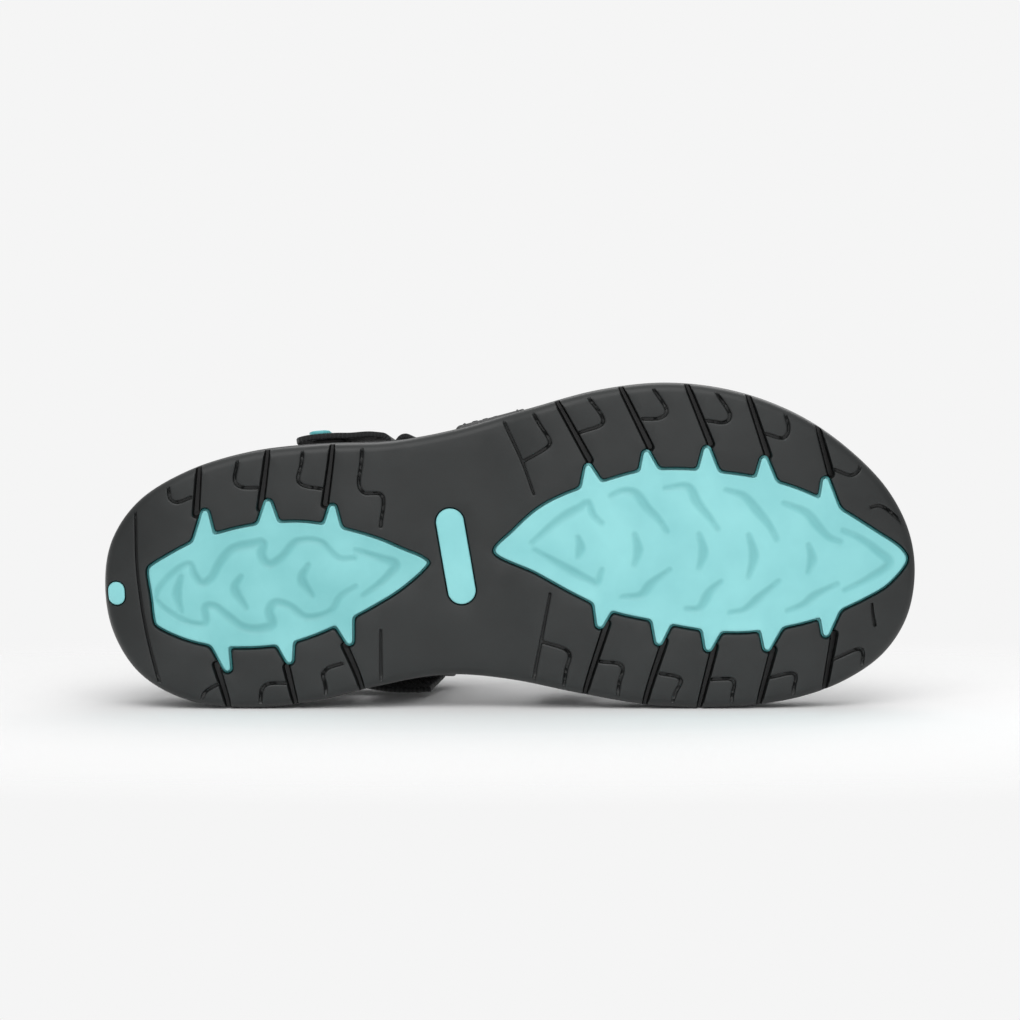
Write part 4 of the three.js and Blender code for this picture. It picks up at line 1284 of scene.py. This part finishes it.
def up_the_side(p: Points) -> Points:
    """Returns the outward direction on the quarters."""
    share = ease(18, 52, p[:, 2])[:, None]
    return mix(unit(over_foot(p)), unit(round_heel(p)), share)


class Route:
    """The line of a strap's inner face over the foot, with the directions of its layers."""

    def __init__(self, points: Sequence, outward: Callable[[Points], Points]) -> None:
        """Takes the points that the line passes through and the outward direction along it."""
        self.line = evenly(centripetal(points, False, 40), 0.5)
        self.travelled = measured(self.line)
        self.length = float(self.travelled[-1])
        self.outward = outward

    def at(self, distance: np.ndarray) -> Points:
        """Returns the line's points at distances along it."""
        return points_at(self.line, self.travelled, np.clip(distance, 0, self.length))

    def frames(self, distance: np.ndarray) -> tuple[Points, Points, Points]:
        """Returns the places, the outward directions and the across directions at distances."""
        distance = np.atleast_1d(np.asarray(distance, float))
        inside = np.clip(distance, 0, self.length)
        along = unit(self.at(inside + 0.6) - self.at(inside - 0.6))
        place = self.at(inside) + along * (distance - inside)[:, None]
        out = self.outward(place)
        out = unit(out - along * np.sum(out * along, axis=1)[:, None])
        return place, out, np.cross(along, out)


def seat(x: float, side: int) -> tuple[float, float, float]:
    """Returns where a strap goes into the midsole, just outside the footbed."""
    return (x, float(edge_at(x, side)) - side * SEAT_INSET, SEAT_HEIGHT)


TOE = Route(
    (seat(75, 1), (75, 46.8, 26), (72, 42.5, 41), (61, 22, 53.5), (47, 0, 57.5), (34, -21, 56),
     (26, -38, 45), (23, -43.2, 30), seat(23, -1)),
    over_foot,
)
CROSS = Route(
    (seat(19, 1), (19, 43.2, 28), (22, 39, 49), (33, 20, 61.8), (47, 0, 62.8), (60, -20, 56.5),
     (69, -37.5, 44), (73, -44.4, 30), seat(73, -1)),
    over_foot,
)
INSTEP = Route(
    (seat(-5.5, -1), (-5.5, -36.2, 30), (-6, -37, 45), (-7.5, -32.4, 66), (-10.5, -18.6, 86.5),
     (-15, 4, 95), (-21, 26, 88), (-29, 40, 68), (-33, 43.8, 48), (-35, 42.4, 32), seat(-35, 1)),
    over_foot,
)
HEEL = Route(
    ((-24, 47.4, 45), (-36, 48, 48.5), (-48, 46.6, 54), (-62, 43.4, 60), (-80, 37.6, 68),
     (-98, 28.5, 75), (-109, 14, 78), (-109, 3, 78), (-98, -11.2, 76), (-80, -20.4, 73),
     (-58, -24.2, 71), (-38, -23.3, 68), (-28, -23.6, 65.5), (-18.5, -25.8, 62),
     (-8, -30, 58), (1, -32.6, 55)),
    round_heel,
)
LATERAL_QUARTER = Route(
    (seat(-50, -1), (-50, -28.4, 30), (-50, -25.6, 46), (-50, -22, 60), (-50, -18.6, 77)),
    up_the_side,
)
MEDIAL_QUARTER = Route(
    (seat(-56, 1), (-56.5, 44.4, 30), (-57, 42.2, 44), (-57.5, 39, 56), (-58, 36.6, 66)),
    up_the_side,
)


# ---------- bands, stitches and rings ----------


@dataclass
class Band:
    """A flat band laid along a route.

    Its path runs through (distance along the route, height above it) at the middle of its
    thickness, so it can also fold back over itself.
    """

    route: Route
    path: Sequence[tuple[float, float]]
    width: float
    thickness: float = WEBBING
    tip: float = 0.0
    start_tip: float = 0.0
    phase: float = 0.0

    def __post_init__(self) -> None:
        """Works out how long the path is."""
        self.path = np.asarray(self.path, float)
        self.travelled = measured(self.path)
        self.length = float(self.travelled[-1])

    def half_width(self, along: np.ndarray) -> np.ndarray:
        """Returns half the band's width, which narrows to rounded corners at its tips."""
        half = np.full(np.shape(along), self.width / 2)
        for radius, left in ((self.tip, self.length - along), (self.start_tip, along)):
            if radius:
                short = np.clip(radius - left, 0, radius)
                half = half - radius + np.sqrt(radius**2 - short**2)
        return half

    def place(self, along: np.ndarray, across: np.ndarray, lift: np.ndarray | float = 0) -> Points:
        """Returns points on the band.

        Args:
            along: distances from the band's start.
            across: distances from its middle line.
            lift: heights above the middle of its thickness.

        Returns:
            The points in millimetres.
        """
        along = np.asarray(along, float)

        def side_view(t: np.ndarray) -> np.ndarray:
            """Returns (distance, height) at a distance along the path."""
            return points_at(self.path, self.travelled, t)

        at = side_view(along)
        ahead = unit(side_view(along + 0.3) - side_view(along - 0.3))
        at = at + np.column_stack([-ahead[:, 1], ahead[:, 0]]) * np.reshape(lift, (-1, 1))
        origin, out, sideways = self.route.frames(at[:, 0])
        return origin + out * at[:, 1:] + sideways * np.reshape(across, (-1, 1))

    def solid(self, name: str, spacing: float = 1.3, edge: float = 0.5) -> bpy.types.Object:
        """Builds the band from a flat grid, thickened and with its edges rounded.

        Args:
            name: the object's name.
            spacing: the distance between the grid's rows along the band.
            edge: the radius of its edges.

        Returns:
            The band, with the map "strap" in millimetres along and across it.
        """
        rows, columns = max(3, round(self.length / spacing)), max(4, round(self.width / 1.8))
        deselect()
        bpy.ops.mesh.primitive_grid_add(x_subdivisions=rows, y_subdivisions=columns, size=2)
        made = bpy.context.object
        made.name = made.data.name = name
        flat = coordinates(made) * MM
        along = (flat[:, 0] + 1) / 2 * self.length
        set_coordinates(made, self.place(along, flat[:, 1] * self.half_width(along)))
        chart = made.data.uv_layers[0]
        chart.name = "strap"
        values = np.zeros(len(chart.data) * 2, np.float32)
        chart.data.foreach_get("uv", values)
        values = values.reshape(-1, 2) * (self.length, self.width) + (self.phase, 0)
        chart.data.foreach_set("uv", values.astype(np.float32).ravel())
        modify(made, "SOLIDIFY", thickness=self.thickness * MM, offset=0, use_even_offset=True)
        modify(made, "BEVEL", width=edge * MM, segments=2, limit_method="ANGLE",
               angle_limit=math.radians(55))
        face_out(made)
        return smooth(made, 50)


def flat_path(start: float, end: float, height: float, step: float = 2.0) -> list:
    """Returns a path at one height between two distances."""
    return [(d, height) for d in np.linspace(start, end, max(2, round(abs(end - start) / step)))]


def arc(centre: tuple[float, float], radius: float, start: float, end: float) -> list:
    """Returns an arc of a path, between two angles in degrees."""
    turns = np.radians(np.linspace(start, end, 15))
    return [(centre[0] + radius * math.cos(t), centre[1] + radius * math.sin(t)) for t in turns]


class Seams:
    """Rows of stitches, gathered and made into one piece for each strap."""

    stitch: float = 2.1
    pitch: float = 3.0
    thread: float = 0.3

    def __init__(self) -> None:
        """Starts with no stitches."""
        self.ends: list[tuple[Points, Points, Points]] = []

    def row(self, band: Band, line: Sequence[tuple[float, float]]) -> None:
        """Adds a row of stitches along a line on a band.

        Args:
            band: the band that is sewn.
            line: (distance along, distance across) places that the row passes through.
        """
        line = np.asarray(line, float)
        travelled = measured(line)
        count = max(1, int(travelled[-1] // self.pitch))
        middles = (np.arange(count) + 0.5) * travelled[-1] / count

        def on_band(t: np.ndarray, extra: float = 0) -> Points:
            """Returns the places on the band at distances along the row."""
            along, across = points_at(line, travelled, t).T
            return band.place(along, across, SEAM_LIFT + extra)

        first, last = on_band(middles - self.stitch / 2), on_band(middles + self.stitch / 2)
        up = unit(on_band(middles, 1.0) - on_band(middles))
        self.ends.append((first, last, up))

    def build(self, name: str) -> bpy.types.Object:
        """Builds every stitch as a small loaf of thread, and rides them on the sandal."""
        deselect()
        bpy.ops.mesh.primitive_cylinder_add(vertices=6, radius=1, depth=2, end_fill_type="NGON")
        model = bpy.context.object
        only(model)
        bpy.ops.object.mode_set(mode="EDIT")
        bpy.ops.mesh.select_all(action="SELECT")
        bpy.ops.mesh.bevel(offset=0.45, segments=1, affect="EDGES", clamp_overlap=True)
        bpy.ops.object.mode_set(mode="OBJECT")
        shape = coordinates(model) * MM
        cells = [list(p.vertices) for p in model.data.polygons]
        bpy.data.objects.remove(model)
        points, faces = [], []
        for first, last, up in self.ends:
            for a, b, raised in zip(first, last, up):
                axis = (b - a) / 2
                length = np.linalg.norm(axis)
                side = np.cross(axis / length, raised)
                offset = len(points) * len(shape)
                arched = (1 - shape[:, 2:] ** 2) * raised * 0.12
                points.append((a + b) / 2 + shape[:, 2:] * axis + arched
                              + self.thread * (shape[:, :1] * side + shape[:, 1:2] * raised * 0.8))
                faces += [[v + offset for v in cell] for cell in cells]
        made = mesh_object(name, np.vstack(points), faces)
        smooth(made, 80)
        THREAD.dress(made)
        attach(made, ROOT)
        return made


def rounded_rectangle(half_x: float, half_y: float, corner: float, count: int) -> Points:
    """Returns count points evenly round a rectangle with round corners, from its middle right."""
    turns = np.radians(np.arange(0, 91, 10))
    quarter = np.column_stack([np.cos(turns), np.sin(turns)]) * corner
    quarter += (half_x - corner, half_y - corner)
    ring = np.vstack([quarter, (quarter * (-1, 1))[::-1], quarter * (-1, -1),
                      (quarter * (1, -1))[::-1]])
    full = np.vstack([ring, ring[:1]])
    travelled = measured(full)
    return points_at(full, travelled, np.linspace(0, travelled[-1], count, endpoint=False))


@dataclass
class Closure:
    """A hook-and-loop closure.

    The strap runs along its route to a moulded ring, folds round the near bar and comes back as
    a flap with a hook patch under it and a grip patch on top. An anchor loop holds the ring. It
    starts sewn_in before the route's end.
    """

    name: str
    route: Route
    width: float
    ring_from_end: float
    flap_length: float
    sewn_in: float = 0.0
    heel_joins: tuple = ()
    tail_seam: float = 9.0
    fold_length: float = 3.0

    def __post_init__(self) -> None:
        """Works out where the ring, the fold and the flap are along the route."""
        self.ring_at = self.route.length - self.ring_from_end
        self.near_bar = self.ring_at - RING_REACH / 2
        self.far_bar = self.ring_at + RING_REACH / 2
        self.flap_start = self.ring_at - (RING_REACH / 2 + self.fold_length + GAP)
        self.flap_end = self.flap_start - self.flap_length
        self.centre = FOLD + WEBBING
        self.turn = FOLD + WEBBING / 2
        self.stack = WEBBING + 2 * PATCH + 3 * LAYER_GAP

    def strap(self) -> Band:
        """Returns the band from the sole to the ring."""
        return Band(self.route, flat_path(0, self.near_bar, WEBBING / 2), self.width)

    def folded(self) -> Band:
        """Returns the fold round the near bar and the flap that follows it."""
        tail = arc((self.near_bar, self.centre), self.turn, -90, 90)
        high, low = self.centre + self.turn, self.stack + WEBBING / 2
        stops = np.linspace(self.near_bar - 0.5, self.flap_end, 40)
        settled = ease(0, 9, self.flap_start - stops)
        tail += zip(stops, mix(high, low, settled))
        return Band(self.route, tail, self.width, tip=5.5, phase=self.near_bar)

    def anchor(self) -> Band:
        """Returns the band that holds the far bar, with its tail sewn back on itself."""
        path = flat_path(self.route.length - self.sewn_in, self.far_bar, WEBBING / 2)
        path += arc((self.far_bar, self.centre), self.turn, 270, 90)
        high, low = self.centre + self.turn, WEBBING * 1.5 + 0.15
        stops = np.linspace(self.far_bar + 0.5, self.far_bar + 21, 20)
        settled = ease(0, 10, stops - self.far_bar)
        path += zip(stops, mix(high, low, settled))
        return Band(self.route, path, self.width, tip=2.0)

    def patch(self, start: float, end: float, low: float, thickness: float,
              narrower: float) -> Band:
        """Returns a patch between two distances, with its lower face at a height."""
        path = flat_path(start, end, low + thickness / 2)
        return Band(self.route, path, self.width - narrower, thickness, 2.0, 2.0)

    def ring(self) -> bpy.types.Object:
        """Builds the moulded ring from a torus drawn out to a rounded rectangle."""
        count, radius, torus = 120, BAR / 2, 10
        deselect()
        bpy.ops.mesh.primitive_torus_add(major_segments=count, minor_segments=14,
                                         major_radius=torus * MM, minor_radius=radius * MM)
        made = bpy.context.object
        made.name = made.data.name = self.name + "_moulded_ring"
        place = coordinates(made)
        turn = np.arctan2(place[:, 1], place[:, 0])
        bar = np.hypot(place[:, 0], place[:, 1]) - torus
        index = np.round(turn / (2 * math.pi) * count).astype(int) % count
        line = rounded_rectangle(RING_REACH / 2, self.width / 2 + 0.7 + radius, 2.2, count)
        along = unit(np.roll(line, -1, axis=0) - np.roll(line, 1, axis=0))
        outward = np.column_stack([along[:, 1], -along[:, 0]])
        flat = line[index] + outward[index] * bar[:, None]
        origin, out, across = self.route.frames(self.ring_at)
        ahead = np.cross(out, across)
        world = origin + ahead * flat[:, :1] + across * flat[:, 1:]
        set_coordinates(made, world + out * (self.centre + place[:, 2:]))
        face_out(made)
        smooth(made, 60)
        fit(made, RING_NYLON, self.name + "_ring", self.name + "_loose_ring")
        return made

    def seams(self, strap: Band, anchor: Band) -> bpy.types.Object:
        """Builds the stitches that hold the loop patch, the anchor's tail and the strap's edges."""
        seams = Seams()
        half = self.width / 2
        tail = anchor.length - SEAM_INSET
        front = tail - self.tail_seam
        for side in (-1, 1):
            edge, cross = side * (half - SEAM_INSET), side * (half - 2.6)
            if self.name != "heel":
                seams.row(strap, [(SEAM_START, edge), (self.flap_end - 4, edge)])
            seams.row(anchor, [(tail, edge), (front, edge)])
            seams.row(anchor, [(tail, cross), (front, -cross)])
        for row in (tail, front):
            seams.row(anchor, [(row, 2.4 - half), (row, half - 2.4)])
        for row in self.heel_joins:
            seams.row(strap, [(row, 4 - half), (row, half - 4)])
        return seams.build(self.name + "_stitches")

    def build(self) -> list[bpy.types.Object]:
        """Builds every piece of the closure."""
        leaf = self.name + "_flap_leaf"
        strap, folded, anchor = self.strap(), self.folded(), self.anchor()
        band = strap.solid(self.name + "_strap_band")
        fit(band, STRAP_WEAVE, self.name + "_strap")
        held = anchor.solid(self.name + "_anchor_loop", 0.9)
        fit(held, STRAP_WEAVE, self.name + "_anchor")
        flap = folded.solid(self.name + "_fold_and_flap", 0.8)
        before, out, _ = self.route.frames(self.near_bar - 0.4)
        after, _, _ = self.route.frames(self.flap_start - 2.5)
        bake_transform(flap)
        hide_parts(self.name + "_flap")
        STRAP_WEAVE.dress(flap)
        start, end = self.flap_start - 9, self.flap_end + 5
        loop = self.patch(start + 2, end - 7, WEBBING + 0.1, PATCH, 3)
        hook = self.patch(start, end, self.stack - PATCH - 0.1, PATCH, 4)
        grip = self.patch(self.flap_end + 11, self.flap_end + 4.5, self.stack + WEBBING + 0.1,
                          GRIP, 3)
        pieces = [band, held, flap]
        for piece, kind, body, finish in (
            (loop, "loop_patch", ROOT, LOOP_TAPE),
            (hook, "hook_patch", leaf, HOOK_TAPE),
            (grip, "pull_tab", leaf, TAB_RUBBER),
        ):
            made = piece.solid(f"{self.name}_{kind}_piece", edge=0.3)
            fit(made, finish, f"{self.name}_{kind}", body)
            pieces.append(made)
        return [*pieces, self.ring(), self.seams(strap, anchor)]


def slot_body(route: Route, at_end: bool, width: float) -> bpy.types.Object:
    """Builds a body the size of the slot that takes a strap's end."""
    start = route.length - SLOT_DEPTH if at_end else -0.5
    path = flat_path(start, start + SLOT_DEPTH + 0.5, WEBBING / 2)
    return Band(route, path, width + 0.8, WEBBING + 0.7).solid("slot", 4)


@dataclass
class Straps:
    """The plain straps, the linings, the padded collars and the three closures."""

    toe_width: float = 18.0
    quarter_width: float = 15.0
    closures: tuple = (
        Closure("cross", CROSS, 18, 51, 34),
        Closure("instep", INSTEP, 22, 60, 42, heel_joins=(38.0, 53.0)),
        Closure("heel", HEEL, 18, 42, 25, sewn_in=3.5),
    )

    def plain(self) -> list[bpy.types.Object]:
        """Builds the toe strap and the two quarters."""
        made = []
        for name, route, width in (
            ("toe_strap", TOE, self.toe_width),
            ("lateral_quarter", LATERAL_QUARTER, self.quarter_width),
            ("medial_quarter", MEDIAL_QUARTER, self.quarter_width),
        ):
            band = Band(route, flat_path(0, route.length, WEBBING / 2), width)
            piece = band.solid(name + "_band")
            fit(piece, STRAP_WEAVE, name)
            made.append(piece)
            seams = Seams()
            reach = width / 2 - SEAM_INSET
            end = route.length - (SEAM_START if route is TOE else 2)
            for edge in (-reach, reach):
                seams.row(band, [(SEAM_START, edge), (end, edge)])
            for row in () if route is TOE else (end, end - 9):
                seams.row(band, [(row, -reach), (row, reach)])
            made.append(seams.build(name + "_stitches"))
        return made

    def linings(self) -> list[bpy.types.Object]:
        """Builds the soft linings under the two forefoot straps."""
        made = []
        for name, route, end, width in (
            ("toe_lining", TOE, TOE.length - SEAM_START, self.toe_width - 1),
            ("cross_lining", CROSS, 50, 17),
        ):
            path = flat_path(22, end, -LAYER_GAP - LINING / 2 + 0.2)
            piece = Band(route, path, width, LINING, 3, 3).solid(name + "_knit", edge=0.7)
            fit(piece, LINING_KNIT, name)
            made.append(piece)
        return made

    def padding(self) -> list[bpy.types.Object]:
        """Builds the padded collars, blown up as cloth from a slightly smaller shape."""
        made = []
        for name, route, start, end, width in (
            ("instep_pad", INSTEP, 68, INSTEP.length - 68, 26),
            ("heel_collar_pad", HEEL, 66, HEEL.length - 92, 34),
        ):
            path = flat_path(start + 0.6, end - 0.6, -LAYER_GAP - PAD / 2)
            pad = Band(route, path, width - 1.2, PAD - 0.9, 7, 7)
            piece = pad.solid(name + "_cushion", 1.6, 0.9)
            inflate(piece, thinned(piece, pad))
            fit(piece, LINING_KNIT, name)
            made.append(piece)
        return made

    def cutters(self) -> list[bpy.types.Object]:
        """Builds the bodies that cut the midsole's slots."""
        both, quarters = (False, True), (LATERAL_QUARTER, MEDIAL_QUARTER)
        straps = [(TOE, self.toe_width, both)]
        straps += [(closure.route, closure.width, both) for closure in self.closures[:2]]
        straps += [(route, self.quarter_width, (False,)) for route in quarters]
        return [slot_body(route, at_end, width) for route, width, ends in straps for at_end in ends]

    def build(self) -> list[bpy.types.Object]:
        """Builds the whole upper."""
        made = self.plain() + self.linings() + self.padding()
        for closure in self.closures:
            made += closure.build()
        return made


def thinned(obj: bpy.types.Object, pad: Band, edge: float = 0.5, reach: float = 5.0) -> np.ndarray:
    """Thins a pad towards its sewn edge.

    Args:
        obj: the pad.
        pad: the band that it was built from.
        edge: what share of the thickness its edge keeps.
        reach: how far in from the edge it reaches its full thickness.

    Returns:
        How far each of its points is in from the edge.
    """
    chart, corners = obj.data.uv_layers[0].data, obj.data.loops
    values, owner = np.zeros(len(chart) * 2, np.float32), np.zeros(len(corners), np.int32)
    chart.foreach_get("uv", values)
    corners.foreach_get("vertex_index", owner)
    flat = np.zeros((len(obj.data.vertices), 2))
    flat[owner] = values.reshape(-1, 2)
    along, half = flat[:, 0], pad.half_width(flat[:, 0])
    across = (flat[:, 1] / pad.width * 2 - 1) * half
    inset = np.minimum.reduce([half - abs(across), along, pad.length - along])
    middle = pad.place(along, across)
    share = mix(edge, 1, ease(0, reach, inset))
    set_coordinates(obj, middle + (coordinates(obj) - middle) * share[:, None])
    return inset


def inflate(obj: bpy.types.Object, inset: np.ndarray, cap: float = 0.9, pressure: float = 4,
            steps: int = 20) -> None:
    """Blows a pad up as cloth that is held at its sewn edge.

    Args:
        obj: the pad, an even closed mesh slightly smaller than it should end.
        inset: how far each of its points is in from the edge.
        cap: the furthest that a point may move, in millimetres.
        pressure: how hard the air inside pushes.
        steps: for how many frames it pushes.
    """
    held = obj.vertex_groups.new(name="sewn_edge")
    for index, share in enumerate(1 - ease(0.4, 2.5, inset)):
        held.add([index], float(share), "REPLACE")
    before = coordinates(obj)
    cloth = obj.modifiers.new("Cloth", "CLOTH")
    cloth.settings.vertex_group_mass = held.name
    cloth.settings.use_pressure = True
    cloth.settings.uniform_pressure_force = pressure
    cloth.settings.effector_weights.gravity = 0
    scene = bpy.context.scene
    for step in range(steps):
        scene.frame_set(step + 1)
    only(obj)
    bpy.ops.object.modifier_apply(modifier=cloth.name)
    scene.frame_set(1)
    obj.vertex_groups.clear()
    moved = coordinates(obj) - before
    far = np.linalg.norm(moved, axis=1)
    LOG.info("%s: cloth moved %.2f mm at most", obj.name, far.max())
    limit = cap * np.tanh(far / cap) / np.maximum(far, 1e-9)
    set_coordinates(obj, before + moved * limit[:, None])
    modify(obj, "CORRECTIVE_SMOOTH", iterations=4, use_only_smooth=True)
    modify(obj, "SUBSURF", levels=1, render_levels=1)
    smooth(obj, 80)


# ---------- the setting ----------


@dataclass
class Setting:
    """The pale floor the sandal lies against, the studio lights and the camera.

    A light has a name, a place in millimetres, its watts and its side in metres.
    """

    floor_y: float = 52.3
    pale: str = "f5f5f5"
    floor_fade: tuple[float, float] = (0.07, 0.24)
    fill: float = 0.55
    camera_distance: float = 1600.0
    camera_tilt: float = 4.0
    lens: float = 177.3
    sensor: float = 36.0
    aim: tuple[float, float, float] = (-0.3, -11.5, 0.0)
    lights: tuple = (
        ("tread_key", (-60, -720, -880), 5.6, 0.9),
        ("tread_fill", (300, -100, -1000), 1.8, 1.2),
        ("floor_top", (0, -1100, -150), 4.0, 1.6),
        ("upper_key", (250, -700, 800), 4.0, 0.9),
        ("upper_back", (-600, 500, 700), 6.0, 1.2),
        ("inner_side", (-200, 1000, 250), 3.4, 1.2),
    )

    def camera(self) -> None:
        """Places the camera under the tread, with the toe to its right."""
        tilt = math.radians(self.camera_tilt)
        ahead = Vector((0, math.sin(tilt), math.cos(tilt)))
        right = Vector((1, 0, 0))
        up = right.cross(ahead)
        data = bpy.data.cameras.new("camera")
        data.lens, data.sensor_width = self.lens, self.sensor
        made = bpy.data.objects.new("camera", data)
        turn = Matrix((right, up, -ahead)).transposed().to_4x4()
        place = Vector(self.aim) * MM - ahead * self.camera_distance * MM
        made.matrix_world = Matrix.Translation(place) @ turn
        bpy.context.scene.collection.objects.link(made)
        bpy.context.scene.camera = made

    def floor(self) -> None:
        """Makes the floor that the inner side rests on, which fades out and lets light through."""
        deselect()
        bpy.ops.mesh.primitive_plane_add(size=1.4)
        plane = bpy.context.object
        plane.name = "pale_floor"
        place = coordinates(plane)
        set_coordinates(plane, np.column_stack([place[:, 0], np.full(len(place), self.floor_y),
                                                place[:, 1]]))
        material = bpy.data.materials.new("pale_floor")
        material.use_nodes = True
        tree = material.node_tree
        tree.nodes.clear()
        place = node(tree, "TexCoord").outputs["Object"]
        squeezed = node(tree, "Mapping", None, Vector=place, Scale=(0.5, 0, 1)).outputs[0]
        far = node(tree, "VectorMath", {"operation": "LENGTH"}, in0=squeezed).outputs["Value"]
        fade = ramp(tree, far, *self.floor_fade)
        back = node(tree, "NewGeometry").outputs["Backfacing"]
        shadow = node(tree, "LightPath").outputs["Is Shadow Ray"]
        hidden = math_node(tree, "MAXIMUM", fade, math_node(tree, "MAXIMUM", back, shadow))
        paper = node(tree, "BsdfDiffuse", None, Color=linear(self.pale)).outputs[0]
        clear = node(tree, "BsdfTransparent").outputs[0]
        mixed = node(tree, "MixShader", None, in0=hidden, in1=paper, in2=clear).outputs[0]
        node(tree, "OutputMaterial", None, Surface=mixed)
        plane.data.materials.append(material)

    def light(self) -> None:
        """Lights the sandal softly from both sides and makes the background pale."""
        aim = Vector((0, 0, 30 * MM))
        for name, place, watts, size in self.lights:
            data = bpy.data.lights.new(name, "AREA")
            data.energy, data.size = watts, size
            made = bpy.data.objects.new(name, data)
            made.location = Vector(place) * MM
            made.rotation_euler = (aim - made.location).to_track_quat("-Z", "Y").to_euler()
            bpy.context.scene.collection.objects.link(made)
        world = bpy.data.worlds.new("studio")
        world.use_nodes = True
        tree = world.node_tree
        tree.nodes.clear()
        seen = node(tree, "Background", None, Color=linear(self.pale), Strength=1.0).outputs[0]
        fill = node(tree, "Background", None, Color=linear(self.pale), Strength=self.fill).outputs[0]
        direct = node(tree, "LightPath").outputs["Is Camera Ray"]
        mixed = node(tree, "MixShader", None, in0=direct, in1=fill, in2=seen).outputs[0]
        node(tree, "OutputWorld", None, Surface=mixed)
        bpy.context.scene.world = world
        bpy.context.scene.view_settings.view_transform = "Standard"

    def build(self) -> None:
        """Builds the whole setting."""
        self.camera()
        self.floor()
        self.light()


def main() -> None:
    """Builds the setting and every sub-assembly, and reports each piece."""
    logging.basicConfig(level=logging.INFO, format="%(name)s: %(message)s")
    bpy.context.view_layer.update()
    Setting().build()
    straps = Straps()
    for made in (Sole().build(straps.cutters()), straps.build()):
        for piece in made:
            LOG.info("%s: %d faces", piece.name, len(piece.data.polygons))
    deselect()


if __name__ == "__main__":
    main()
